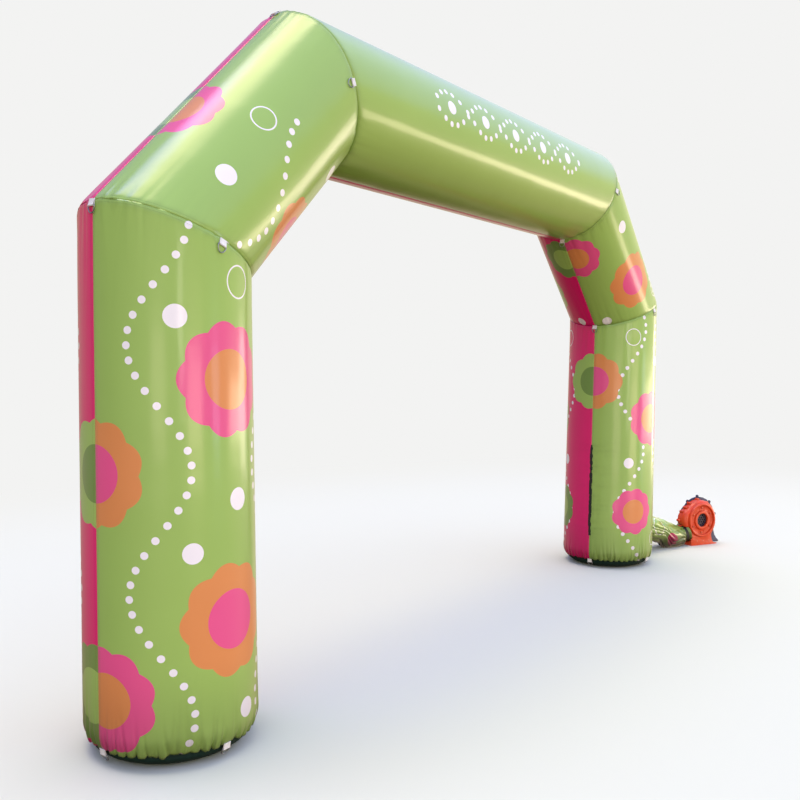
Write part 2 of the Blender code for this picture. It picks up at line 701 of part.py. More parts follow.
def sleeve(mat):
    """The cloth sleeve from the leg to the blower's outlet."""
    return add_object("air_sleeve", shell(sleeve_rows(0.0), sleeve_rows(CLOTH), wrap=True), mat)


def sleeve_strap(mat):
    """Black strap that ties the sleeve on to the outlet."""
    inner = OUTLET_R + CLOTH + STRAP_PLAY
    across, over = ring_ways((outlet_axis(0.0) - outlet_axis(1.0)).normalized())
    grids = []
    for radius in (inner + STRAP_THICK, inner):
        rows = []
        for distance in (STRAP_FAR, STRAP_NEAR):
            middle = outlet_axis(distance)
            rows.append([middle + (across * math.cos(2 * math.pi * j / SLEEVE_SIDES)
                                   + over * math.sin(2 * math.pi * j / SLEEVE_SIDES)) * radius
                         for j in range(SLEEVE_SIDES)])
        grids.append(rows)
    return add_object("sleeve_strap", shell(*grids, wrap=True), mat)


def stand_on_origin():
    """Move the whole object so that its footprint's middle is the origin."""
    corners = [obj.matrix_world @ v.co for obj in bpy.data.objects for v in obj.data.vertices]
    low = [min(c[i] for c in corners) for i in range(3)]
    high = [max(c[i] for c in corners) for i in range(3)]
    shift = Vector((-(low[0] + high[0]) / 2, -(low[1] + high[1]) / 2, -low[2]))
    for obj in bpy.data.objects:
        obj.data.transform(Matrix.Translation(shift))


def main():
    """Build every piece of the arch, then stand the whole on its origin."""
    clear_scene()
    mats = {name: material(name, *finish) for name, finish in FINISHES.items()}
    black, grey = mats["black_base_cloth"], mats["dark_plastic"]
    for length in range(5):
        panel(length, -1, mats["green_print"])
        panel(length, 1, mats["pink_print"])
    base_cap("cap_left", leg_axis(-1, 0.0), black)
    base_cap("cap_right", leg_axis(1, 0.0), black)
    for name, place in mitre_places() + foot_places():
        webbing_loop(f"web_{name}", place, mats["white_webbing"])
        d_ring(f"ring_{name}", place, mats["ring_steel"])
    zip_strip(black)
    blower_front(mats["orange_plastic"])
    blower_rear(grey)
    inlet_plate(mats["orange_plastic"])
    inlet_guard(grey)
    motor(grey)
    sleeve(mats["green_print"])
    sleeve_strap(black)
    stand_on_origin()


main()
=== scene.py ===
"""Surface model of an inflatable entrance arch, its air sleeve and its blower.

The arch is one air-filled tube of five straight lengths, each a front and a back half-tube of
printed, coated cloth. Its driving sizes are the fields of ArchLines, and the frame gives its
middle, the zip's ends and the shapes that stay as they are. Each piece gets its gathers,
puckers, print and finish here. Lengths are in metres and angles in radians, except where a
name or a docstring says millimetres or degrees.
"""
from __future__ import annotations

import json
import logging
import math
from dataclasses import dataclass, field
from enum import Enum
from itertools import accumulate
from typing import Callable, Iterable, Sequence

import bmesh
import bpy
from bmesh.types import BMesh, BMVert
from bpy.types import Material, Node, NodeSocket, NodeTree, Object
from mathutils import Matrix, Vector, noise

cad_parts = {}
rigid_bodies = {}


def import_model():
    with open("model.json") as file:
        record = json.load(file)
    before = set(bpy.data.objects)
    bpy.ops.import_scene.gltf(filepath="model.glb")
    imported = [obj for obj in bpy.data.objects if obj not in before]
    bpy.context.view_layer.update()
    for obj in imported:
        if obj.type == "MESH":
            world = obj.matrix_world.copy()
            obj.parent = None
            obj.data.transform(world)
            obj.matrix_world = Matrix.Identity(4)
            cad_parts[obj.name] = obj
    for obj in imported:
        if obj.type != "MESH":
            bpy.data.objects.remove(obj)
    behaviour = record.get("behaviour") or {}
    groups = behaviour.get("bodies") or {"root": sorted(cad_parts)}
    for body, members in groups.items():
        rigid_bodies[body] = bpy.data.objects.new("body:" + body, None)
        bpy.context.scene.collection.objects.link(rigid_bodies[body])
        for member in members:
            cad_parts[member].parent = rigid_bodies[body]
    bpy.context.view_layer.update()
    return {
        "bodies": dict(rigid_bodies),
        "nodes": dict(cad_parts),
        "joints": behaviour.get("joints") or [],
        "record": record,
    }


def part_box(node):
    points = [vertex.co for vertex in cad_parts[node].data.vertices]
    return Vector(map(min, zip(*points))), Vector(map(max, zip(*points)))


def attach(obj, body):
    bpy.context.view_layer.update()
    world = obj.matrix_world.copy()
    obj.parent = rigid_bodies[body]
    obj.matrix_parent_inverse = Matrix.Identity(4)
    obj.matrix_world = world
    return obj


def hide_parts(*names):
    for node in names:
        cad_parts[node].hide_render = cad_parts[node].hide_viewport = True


log = logging.getLogger("inflatable_arch")
BODY = "root"
UV_NAME = "cloth"
SEAM_UV_NAME = "beside_seam"
FOLD_NAME = "fold_depth"
UP = Vector((0.0, 0.0, 1.0))
MERGE_DIST = 0.00001
Colour = tuple[float, float, float]
Pairs = tuple[tuple[float, float], ...]
Surface = Callable[[float, float], tuple[Vector, float, float]]


# ============================================================================ colours and nodes
class Ink(Enum):
    """Colours of the cloths and mouldings, as sRGB hex values."""

    LEAF = "#95BA5E"
    MAGENTA = "#DE0A70"
    PINK = "#DD4D8B"
    ORANGE = "#D3874E"
    OLIVE = "#6C8F45"
    WHITE = "#E9E8F2"
    BASE_BLACK = "#04211C"
    WEB_WHITE = "#E4E6EC"
    WEB_BLACK = "#121316"
    STEEL = "#8E949C"
    BLOWER_ORANGE = "#D43E0A"
    BLOWER_DARK = "#1D2650"
    GUARD = "#3A3345"
    SCREW = "#C9876C"
    FLOOR = "#D8DACA"
    BACKDROP = "#F3F3F2"


def hex_to_linear(code: str) -> tuple[float, float, float, float]:
    """Turn an sRGB hex colour into linear RGBA.

    Args:
        code: Colour such as "#8FB055".

    Returns:
        Linear red, green, blue and an alpha of 1.
    """
    parts = [int(code[i:i + 2], 16) / 255 for i in (1, 3, 5)]
    linear = [p / 12.92 if p <= 0.04045 else ((p + 0.055) / 1.055) ** 2.4 for p in parts]
    return (linear[0], linear[1], linear[2], 1.0)


def toned(colour: Sequence[float], gain: float, lift: float = 0.0) -> tuple[float, ...]:
    """Scale and lift a linear colour, as far as white; its alpha is 1."""
    return tuple(min(part * gain + lift, 1.0) for part in colour[:3]) + (1.0,)


def feed(tree: NodeTree, node: Node, wires: Sequence | dict) -> None:
    """Set or link a node's inputs.

    Args:
        tree: Node tree that holds the node.
        node: The node.
        wires: Values, or the output sockets that feed the inputs: in the inputs' order, or by
            an input's name or number.
    """
    for key, value in (wires if isinstance(wires, dict) else dict(enumerate(wires))).items():
        if isinstance(value, NodeSocket):
            tree.links.new(value, node.inputs[key])
        else:
            node.inputs[key].default_value = value


def add_node(tree: NodeTree, kind: str, wires: Sequence | dict = (), out: int | str = 0,
             **settings: object) -> NodeSocket:
    """Add a shader node with its settings, and set or link its inputs.

    Args:
        tree: Node tree that gets the node.
        kind: Node type without its first word, such as "Math".
        wires: What goes into its inputs, as in feed().
        out: Name or number of the output that is wanted.
        settings: Properties of the node, such as operation="ADD".

    Returns:
        That output of the new node.
    """
    made = tree.nodes.new(f"ShaderNode{kind}")
    for name, value in settings.items():
        setattr(made, name, value)
    feed(tree, made, wires)
    return made.outputs[out]


def new_material(name: str) -> tuple[Material, NodeTree, Node]:
    """Make a node material named after the real one, with its tree and its Principled shader."""
    mat = bpy.data.materials.new(name)
    mat.use_nodes = True
    return mat, mat.node_tree, mat.node_tree.nodes["Principled BSDF"]


def soft_band(tree: NodeTree, value: NodeSocket, centre: float, core: float, edge: float,
              levels: tuple[float, float] = (1.0, 0.0), angle: bool = False) -> NodeSocket:
    """Mask with one level round a value and another away from it, and a smooth step between.

    Args:
        tree: Node tree that gets the nodes.
        value: A place, or an angle.
        centre: Middle of the band.
        core: Distance from the centre where the step starts.
        edge: Distance from the centre where it ends.
        levels: The two levels.
        angle: Measure the distance the short way round.

    Returns:
        The mask.
    """
    away = add_node(tree, "Math", (value, centre), operation="SUBTRACT")
    if angle:
        away = add_node(tree, "Math", (away, math.pi, -math.pi), operation="WRAP")
    away = add_node(tree, "Math", (away,), operation="ABSOLUTE")
    return add_node(tree, "MapRange", (away, core, edge, *levels), interpolation_type="SMOOTHSTEP")


def paint_fold_shade(tree: NodeTree, colour: NodeSocket, strength: float) -> NodeSocket:
    """Paint shade into a colour where the cloth lies deep in a fold.

    Args:
        tree: Node tree that gets the nodes.
        colour: The colour before the painted shade.
        strength: Share of the colour lost in the deepest fold.

    Returns:
        The dimmed colour.
    """
    deep = add_node(tree, "Attribute", out="Fac", attribute_name=FOLD_NAME)
    keep = add_node(tree, "MapRange", {0: deep, "From Max": 0.7, "To Min": 1.0,
                                       "To Max": 1.0 - strength})
    return add_node(tree, "VectorMath", {0: colour, 3: keep}, operation="SCALE")


# ============================================================================ print
class Motif(Enum):
    """Kinds of printed figure."""

    ROSETTE = "scalloped disc with a plain centre"
    SPOT = "plain disc"
    RING = "thin circle"
    TRAIL = "wavy line of dots along the tube"


@dataclass(frozen=True)
class Stamp:
    """One printed figure, placed on the flat panel.

    across is measured from the outer seam and along from the lower or left end, in metres. On a
    trail, along is the wave's phase, radius its height and wave its length, and the trail runs
    from low to high.
    """

    kind: Motif
    across: float
    along: float
    radius: float
    first: Ink = Ink.WHITE
    second: Ink = Ink.WHITE
    wave: float = 1.05
    low: float = -1.0
    high: float = 9.0


@dataclass(frozen=True)
class PrintedCloth:
    """Dye-printed polyester with a clear polyurethane coat: saturated, with a wet-looking gloss."""

    name: str
    swaps: dict[Ink, Ink] = field(default_factory=dict)
    stamps: tuple[Stamp, ...] = ()
    ground: Ink = Ink.LEAF
    patch_scale: float = 1.7
    roughness: float = 0.30
    coat: float = 0.45
    coat_roughness: float = 0.10
    base_ior: float = 1.35
    weave_mm: float = 3.0
    weave_depth: float = 0.00004
    ripple_mm: float = 260.0
    ripple_depth: float = 0.0035
    lobes: int = 9
    lobe_depth: float = 0.10
    disc_centre: float = 0.52
    dot_pitch: float = 0.062
    dot_radius: float = 0.0165
    line_width: float = 0.007
    # Painted shade near the ground: below this height the colour darkens, down to the kept share at
    # height 0.
    ground_shade_height: float = 0.0
    ground_shade_keep: float = 1.0
    # Painted shade in the folds: share of the colour lost in the deepest fold.
    fold_shade: float = 0.55
    stitched: bool = True
    stitch_rows: tuple[float, ...] = (0.0065, 0.0155)
    stitch_pitch: float = 0.0075
    stitch_width: float = 0.0014
    stitch_share: float = 0.68
    stitch_shade: float = 0.55
    stitch_gain: float = 0.30

    def colour(self, ink: Ink) -> tuple[float, float, float, float]:
        """The ink as this colourway prints it."""
        return hex_to_linear(self.swaps.get(ink, ink).value)

    def material(self) -> Material:
        """Build the cloth with its print: gloss coat, fine weave and the ripple of a full skin.

        Returns:
            A material that reads the flat cloth's UV map, in metres.
        """
        mat, tree, shader = new_material(self.name)
        uv = add_node(tree, "UVMap", uv_map=UV_NAME)
        base = self.colour(self.ground)
        patch = add_node(tree, "TexNoise", {"Vector": uv, "Scale": self.patch_scale,
                                            "Detail": 2.0}, "Fac")
        layers = [(patch, base)]
        for stamp in self.stamps:
            layers += [(mask, self.colour(ink)) for mask, ink in self._masks(tree, uv, stamp)]
        colour = toned(base, 0.90)
        for mask, ink in layers:
            colour = add_node(tree, "Mix", {0: mask, 6: colour, 7: ink}, 2, data_type="RGBA")
        # Painted shade, darker towards the ground.
        if self.ground_shade_height > 0:
            colour = self._paint_ground_shade(tree, colour)
        if self.stitched:
            colour = self._sewn(tree, colour)
        ripple = add_node(tree, "TexNoise", {"Vector": uv, "Scale": 1000 / self.ripple_mm,
                                             "Detail": 1.5}, "Fac")
        slow = add_node(tree, "Bump", {"Height": ripple, "Distance": self.ripple_depth,
                                       "Strength": 1.0})
        weave = add_node(tree, "TexChecker", {"Vector": uv, "Scale": 1000 / self.weave_mm}, "Fac")
        fine = add_node(tree, "Bump", {"Height": weave, "Distance": self.weave_depth,
                                       "Strength": 0.25, "Normal": slow})
        # The base colour carries painted shade in the folds.
        feed(tree, shader, {"Base Color": paint_fold_shade(tree, colour, self.fold_shade),
                            "Normal": fine, "Coat Normal": slow, "Roughness": self.roughness,
                            "IOR": self.base_ior, "Coat Weight": self.coat,
                            "Coat Roughness": self.coat_roughness, "Coat IOR": 1.5})
        return mat

    def _paint_ground_shade(self, tree: NodeTree, colour: NodeSocket) -> NodeSocket:
        """Paint shade on the cloth, darker towards the ground."""
        height = add_node(tree, "SeparateXYZ", (add_node(tree, "TexCoord", out="Object"),), "Z")
        keep = add_node(tree, "MapRange", (height, 0.0, self.ground_shade_height, self.ground_shade_keep, 1.0),
                        interpolation_type="SMOOTHSTEP")
        return add_node(tree, "VectorMath", {0: colour, 3: keep}, operation="SCALE")

    def _sewn(self, tree: NodeTree, colour: NodeSocket) -> NodeSocket:
        """Rows of lockstitch beside each seam, drawn about twice as coarse as real, to show."""
        seam = add_node(tree, "UVMap", uv_map=SEAM_UV_NAME)
        run, aside, _ = add_node(tree, "SeparateXYZ", (seam,)).node.outputs
        beat = add_node(tree, "Math", (run, self.stitch_pitch), operation="DIVIDE")
        beat = add_node(tree, "Math", (beat,), operation="FRACT")
        thread = add_node(tree, "Math", (beat, self.stitch_share), operation="LESS_THAN")
        thread = add_node(tree, "Math", (thread, self.stitch_shade), operation="MULTIPLY")
        deep = toned(self.colour(self.ground), self.stitch_gain)
        for row in self.stitch_rows:
            line = add_node(tree, "Math", (aside, row, self.stitch_width / 2),
                            operation="COMPARE")
            mask = add_node(tree, "Math", (line, thread), operation="MULTIPLY")
            colour = add_node(tree, "Mix", {0: mask, 6: colour, 7: deep}, 2, data_type="RGBA")
        return colour

    def _masks(self, tree: NodeTree, uv: NodeSocket,
               stamp: Stamp) -> list[tuple[NodeSocket, Ink]]:
        """Masks of one figure with the ink of each.

        Args:
            tree: Node tree that gets the nodes.
            uv: The flat cloth's coordinates.
            stamp: The figure.

        Returns:
            Pairs of a 0 to 1 mask and its ink, lowest layer first.
        """
        if stamp.kind is Motif.TRAIL:
            return [(self._trail(tree, uv, stamp), stamp.first)]
        away = add_node(tree, "VectorMath", (uv, (stamp.across, stamp.along, 0.0)),
                        operation="SUBTRACT")
        far = add_node(tree, "VectorMath", (away,), "Value", operation="LENGTH")
        if stamp.kind is Motif.RING:
            return [(add_node(tree, "Math", (far, stamp.radius, self.line_width / 2),
                              operation="COMPARE"), stamp.first)]
        limits = [(stamp.radius, stamp.first)]
        if stamp.kind is Motif.ROSETTE:
            limits = [(self._scallop(tree, away, stamp.radius), stamp.first),
                      (stamp.radius * self.disc_centre, stamp.second)]
        return [(add_node(tree, "Math", (far, limit), operation="LESS_THAN"), ink)
                for limit, ink in limits]

    def _scallop(self, tree: NodeTree, away: NodeSocket, radius: float) -> NodeSocket:
        """Radius of a scalloped edge in the direction of a point."""
        across, along, _ = add_node(tree, "SeparateXYZ", (away,)).node.outputs
        edge = add_node(tree, "Math", (along, across), operation="ARCTAN2")
        for operation, *others in (("MULTIPLY", self.lobes / 2), ("SINE",), ("ABSOLUTE",),
                                   ("MULTIPLY_ADD", radius * self.lobe_depth,
                                    radius * (1 - self.lobe_depth))):
            edge = add_node(tree, "Math", (edge, *others), operation=operation)
        return edge

    def _trail(self, tree: NodeTree, uv: NodeSocket, stamp: Stamp) -> NodeSocket:
        """Mask of a wavy line of dots; the stamp's radius is the wave's height."""
        level = add_node(tree, "SeparateXYZ", (uv,), "Y")
        for operation in ("DIVIDE", "ROUND", "MULTIPLY"):
            level = add_node(tree, "Math", (level, self.dot_pitch), operation=operation)
        phase = add_node(tree, "Math", (level, 2 * math.pi / stamp.wave, stamp.along),
                         operation="MULTIPLY_ADD")
        wave = add_node(tree, "Math", (phase,), operation="SINE")
        place = add_node(tree, "Math", (wave, stamp.radius, stamp.across),
                         operation="MULTIPLY_ADD")
        dot = add_node(tree, "CombineXYZ", (place, level))
        far = add_node(tree, "VectorMath", (uv, dot), "Value", operation="DISTANCE")
        dots = add_node(tree, "Math", (far, self.dot_radius), operation="LESS_THAN")
        within = add_node(tree, "Math", (level, (stamp.low + stamp.high) / 2,
                                         (stamp.high - stamp.low) / 2), operation="COMPARE")
        return add_node(tree, "Math", (dots, within), operation="MULTIPLY")


BACK_SWAPS = {Ink.LEAF: Ink.MAGENTA, Ink.PINK: Ink.OLIVE, Ink.ORANGE: Ink.LEAF}


# ============================================================================ plain finishes
@dataclass(frozen=True)
class PlainCloth:
    """Woven synthetic cloth or webbing in one colour."""

    name: str
    ink: Ink
    roughness: float
    thread_mm: float
    relief: float
    specular: float = 0.5

    def material(self) -> Material:
        """Build the cloth; its threads run along the object's axes."""
        mat, tree, shader = new_material(self.name)
        place = add_node(tree, "TexCoord", out="Object")
        base = hex_to_linear(self.ink.value)
        worn = add_node(tree, "TexNoise", {"Vector": place, "Scale": 14.0, "Detail": 4.0}, "Fac")
        colour = add_node(tree, "Mix", {0: worn, 6: base, 7: toned(base, 1.18, 0.004)}, 2,
                          data_type="RGBA")
        weave = add_node(tree, "TexWave",
                         {"Vector": place, "Scale": 1000 / self.thread_mm / (2 * math.pi),
                          "Distortion": 0.4}, "Fac", wave_type="BANDS", bands_direction="DIAGONAL")
        bump = add_node(tree, "Bump", {"Height": weave, "Distance": self.relief, "Strength": 0.6})
        feed(tree, shader, {"Base Color": colour, "Normal": bump, "Roughness": self.roughness,
                            "Specular IOR Level": self.specular})
        return mat


@dataclass(frozen=True)
class StitchedTape:
    """Woven nylon tape with ribs across it and lines of stitching, in one colour.

    The weave is drawn about twice as coarse as the real one, to show.
    """

    name: str
    ink: Ink
    roughness: float
    rib_mm: float
    relief: float
    stitch_aside: float = 0.015
    stitch_half: float = 0.0006
    stitch_pitch: float = 0.0040
    stitch_length: float = 0.0028

    def material(self) -> Material:
        """Build the tape; it reads the strip's UV map, in metres across and along."""
        mat, tree, shader = new_material(self.name)
        uv = add_node(tree, "UVMap", uv_map=UV_NAME)
        across, along, _ = add_node(tree, "SeparateXYZ", (uv,)).node.outputs
        base = hex_to_linear(self.ink.value)
        worn = add_node(tree, "TexNoise", {"Vector": uv, "Scale": 60.0, "Detail": 4.0}, "Fac")
        off = add_node(tree, "Math", (across,), operation="ABSOLUTE")
        row = add_node(tree, "Math", (off, self.stitch_aside, self.stitch_half),
                       operation="COMPARE")
        beat = add_node(tree, "Math", (along, self.stitch_pitch), operation="MODULO")
        dash = add_node(tree, "Math", (beat, self.stitch_length), operation="LESS_THAN")
        thread = add_node(tree, "Math", (row, dash), operation="MULTIPLY")
        colour = toned(base, 0.80)
        for mask, tone in ((worn, base), (thread, toned(base, 0.55))):
            colour = add_node(tree, "Mix", {0: mask, 6: colour, 7: tone}, 2, data_type="RGBA")
        ribs = add_node(tree, "TexWave",
                        {"Vector": uv, "Scale": 1000 / self.rib_mm / 20 * math.pi,
                         "Distortion": 0.3}, "Fac", wave_type="BANDS", bands_direction="Y")
        bump = add_node(tree, "Bump", {"Height": ribs, "Distance": self.relief, "Strength": 0.7})
        feed(tree, shader, {"Base Color": colour, "Normal": bump, "Roughness": self.roughness})
        return mat


@dataclass(frozen=True)
class Moulding:
    """Rotation- or injection-moulded polyethylene: waxy, faintly pebbled, scuffed paler."""

    name: str
    ink: Ink
    roughness: float = 0.42
    grain_mm: float = 2.5

    def material(self) -> Material:
        """Build the plastic."""
        mat, tree, shader = new_material(self.name)
        place = add_node(tree, "TexCoord", out="Object")
        base = hex_to_linear(self.ink.value)
        scuff = add_node(tree, "TexNoise", {"Vector": place, "Scale": 22.0, "Detail": 6.0}, "Fac")
        ramp = add_node(tree, "ValToRGB", (scuff,), "Color")
        for element, position, tone in zip(ramp.node.color_ramp.elements, (0.35, 0.75),
                                           (toned(base, 0.86), toned(base, 1.08, 0.01))):
            element.position = position
            element.color = tone
        grain = add_node(tree, "TexNoise", {"Vector": place, "Scale": 1000 / self.grain_mm,
                                            "Detail": 2.0}, "Fac")
        bump = add_node(tree, "Bump", {"Height": grain, "Distance": 0.0002, "Strength": 0.5})
        feed(tree, shader, {"Base Color": ramp, "Normal": bump, "Roughness": self.roughness})
        return mat


@dataclass(frozen=True)
class Metal:
    """Bent steel wire or plate, dulled by handling."""

    name: str
    ink: Ink
    roughness: float

    def material(self) -> Material:
        """Build the metal."""
        mat, tree, shader = new_material(self.name)
        place = add_node(tree, "TexCoord", out="Object")
        smear = add_node(tree, "TexNoise", {"Vector": place, "Scale": 90.0, "Detail": 5.0}, "Fac")
        dull = add_node(tree, "MapRange", {0: smear, "To Min": self.roughness * 0.7,
                                           "To Max": self.roughness * 1.4})
        feed(tree, shader, {"Base Color": hex_to_linear(self.ink.value), "Metallic": 1.0,
                            "Roughness": dull})
        return mat


# ============================================================================ mesh helpers
def soft(value: float) -> float:
    """Ease a share of 0 to 1 in and out."""
    value = min(max(value, 0.0), 1.0)
    return value * value * (3 - 2 * value)


def wrinkle(*place: float) -> float:
    """Smooth noise of about -1 to 1 at up to three numbers: lengths by pitch, then a pattern."""
    point = Vector((tuple(place) + (0.0, 0.0))[:3])
    return noise.noise(point) * 1.6


def run_lengths(points: Sequence[Vector]) -> list[float]:
    """Length of a line up to each of its points."""
    return [0.0, *accumulate((b - a).length for a, b in zip(points, points[1:]))]


def add_mesh(name: str, bm: BMesh, mat: Material) -> Object:
    """Turn a bmesh into an object of the scene, and free it."""
    mesh = bpy.data.meshes.new(name)
    bm.to_mesh(mesh)
    bm.free()
    mesh.materials.append(mat)
    obj = bpy.data.objects.new(name, mesh)
    bpy.context.scene.collection.objects.link(obj)
    return obj


def finish_piece(name: str, bm: BMesh, mat: Material, replaced: Sequence[str],
                 thickness: float = 0.0, offset: float = -1.0,
                 smooth_deg: float = 60.0) -> Object:
    """Turn a bmesh into a piece that rides on the frame.

    Args:
        name: The piece's name.
        bm: The shape, in world places; it is freed.
        mat: The finish.
        replaced: Frame nodes that the piece stands for.
        thickness: Wall given by a Solidify modifier, or 0.
        offset: Where the wall goes, from -1 for inwards to 1.
        smooth_deg: Edges sharper than this stay sharp.

    Returns:
        The new object.
    """
    obj = add_mesh(name, bm, mat)
    obj.data.shade_smooth()
    obj.data.set_sharp_from_angle(angle=math.radians(smooth_deg))
    if thickness:
        wall = obj.modifiers.new("wall", "SOLIDIFY")
        wall.thickness = thickness
        wall.offset = offset
    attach(obj, BODY)
    if replaced:
        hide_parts(*replaced)
    log.info("%s: %d faces", name, len(obj.data.polygons))
    return obj


def frame_piece(name: str, node: Object, mat: Material, edge: float) -> Object:
    """A finer copy of a frame node, with its flats cleaned and its edges rounded.

    Args:
        name: The piece's name.
        node: The frame node that it stands for.
        mat: The finish.
        edge: Radius of the rounded edges.

    Returns:
        The new object.
    """
    bm = bmesh.new()
    bm.from_mesh(node.data)
    bmesh.ops.remove_doubles(bm, verts=bm.verts, dist=MERGE_DIST)
    bmesh.ops.dissolve_limit(bm, angle_limit=math.radians(0.8), verts=bm.verts, edges=bm.edges)
    sharp = [e for e in bm.edges if e.is_manifold and e.calc_face_angle() > math.radians(32)]
    bmesh.ops.bevel(bm, geom=sharp, offset=edge, segments=2, profile=0.5, affect="EDGES",
                    material=-1, clamp_overlap=True)
    return finish_piece(name, bm, mat, [node.name], smooth_deg=35.0)


def wire_piece(name: str, points: Sequence[Vector], radius: float, mat: Material,
               replaced: Sequence[str]) -> Object:
    """A closed loop of round wire.

    Args:
        name: The piece's name.
        points: The wire's middle line, in world places.
        radius: Of the wire.
        mat: The finish.
        replaced: Frame nodes that the piece stands for.

    Returns:
        The new object.
    """
    curve = bpy.data.curves.new(name, "CURVE")
    curve.dimensions = "3D"
    curve.bevel_depth = radius
    curve.bevel_resolution = 3
    spline = curve.splines.new("POLY")
    spline.points.add(len(points) - 1)
    for target, point in zip(spline.points, points):
        target.co = (*point, 1.0)
    spline.use_cyclic_u = True
    holder = bpy.data.objects.new(name, curve)
    mesh = bpy.data.meshes.new_from_object(holder)
    bm = bmesh.new()
    bm.from_mesh(mesh)
    bpy.data.objects.remove(holder)
    bpy.data.curves.remove(curve)
    bpy.data.meshes.remove(mesh)
    bmesh.ops.remove_doubles(bm, verts=bm.verts, dist=MERGE_DIST)
    bmesh.ops.recalc_face_normals(bm, faces=bm.faces)
    return finish_piece(name, bm, mat, replaced)


def spun(profile: Sequence[tuple[float, float]], steps: int) -> BMesh:
    """Spin an open line of radius and height pairs once round the Z axis."""
    bm = bmesh.new()
    verts = [bm.verts.new((radius, 0.0, height)) for radius, height in profile]
    edges = [bm.edges.new(pair) for pair in zip(verts, verts[1:])]
    bmesh.ops.spin(bm, geom=verts + edges, axis=UP, cent=(0, 0, 0), angle=2 * math.pi,
                   steps=steps, use_merge=True)
    return bm


def turned(profile: Sequence[tuple[float, float]], steps: int, place: Matrix) -> BMesh:
    """Spin a profile of radius and depth pairs into a solid.

    Args:
        profile: Pairs from the axis to the axis, or a closed ring's pairs with the first repeated.
        steps: Faces round.
        place: Takes the shape to its place.

    Returns:
        The bmesh, with its poles merged and its faces outwards.
    """
    bm = spun(profile, steps)
    bmesh.ops.remove_doubles(bm, verts=bm.verts, dist=MERGE_DIST)
    bmesh.ops.recalc_face_normals(bm, faces=bm.faces)
    bm.transform(place)
    return bm


def joined(parts: Iterable[BMesh]) -> BMesh:
    """Put several bmeshes into one and free them."""
    whole = bmesh.new()
    for part in parts:
        mesh = bpy.data.meshes.new("part")
        part.to_mesh(mesh)
        part.free()
        whole.from_mesh(mesh)
        bpy.data.meshes.remove(mesh)
    return whole


def cloth_grid(columns: int, rows: int, shape: Surface, flip: bool = False, ease: bool = False,
               seams: Callable[[float, float], tuple[float, float]] | None = None) -> BMesh:
    """Map a flat grid on to a surface and keep its flat places as UVs.

    Args:
        columns: Faces across.
        rows: Faces along.
        shape: Gives the place and the flat across and along, from shares of 0 to 1.
        flip: Turn the faces over.
        ease: Put the rows closer together towards both ends.
        seams: Gives the run along the nearest seam and the distance from it, from the same
            shares; kept as a second UV map.

    Returns:
        The bmesh.
    """
    bm = bmesh.new()
    bmesh.ops.create_grid(bm, x_segments=columns, y_segments=rows, size=0.5)
    layer = bm.loops.layers.uv.new(UV_NAME)
    seam_layer = bm.loops.layers.uv.new(SEAM_UV_NAME) if seams else None
    flat: dict[BMVert, tuple[float, float]] = {}
    sewn: dict[BMVert, tuple[float, float]] = {}
    for vert in bm.verts:
        across, along = vert.co.x + 0.5, vert.co.y + 0.5
        if ease:
            along = 0.45 * along + 0.55 * soft(along)
        place, u, v = shape(across, along)
        vert.co = place
        flat[vert] = (u, v)
        if seams:
            sewn[vert] = seams(across, along)
    for face in bm.faces:
        for loop in face.loops:
            loop[layer].uv = flat[loop.vert]
            if seam_layer:
                loop[seam_layer].uv = sewn[loop.vert]
    if flip:
        bmesh.ops.reverse_faces(bm, faces=bm.faces)
    return bm


def crease(value: float) -> float:
    """Fold a smooth noise into round crests and sharp valleys, 0 in a valley to about 1."""
    return min(abs(value) * 2.2, 1.0) ** 0.8


def mark_folds(bm: BMesh, gain: float = 5.0, passes: int = 2) -> None:
    """Keep how deep each point lies in a fold, from 0 to 1, for the painted shade in the folds.

    Args:
        bm: Sheet of even squares, its faces outwards.
        gain: Turns the bend of the cloth into depth.
        passes: Rounds of evening out between neighbours.
    """
    bm.normal_update()
    layer = bm.verts.layers.float.new(FOLD_NAME)
    around = {vert: [edge.other_vert(vert) for edge in vert.link_edges] for vert in bm.verts}
    depth = {}
    for vert, others in around.items():
        away = sum((other.co for other in others), Vector()) / len(others) - vert.co
        reach = sum((other.co - vert.co).length for other in others) / len(others)
        depth[vert] = min(max(away.dot(vert.normal) / reach, 0.0) * gain, 1.0)
    for _ in range(passes):
        depth = {vert: (depth[vert] + sum(depth[other] for other in others) / len(others)) / 2
                 for vert, others in around.items()}
    for vert, deep in depth.items():
        vert[layer] = deep


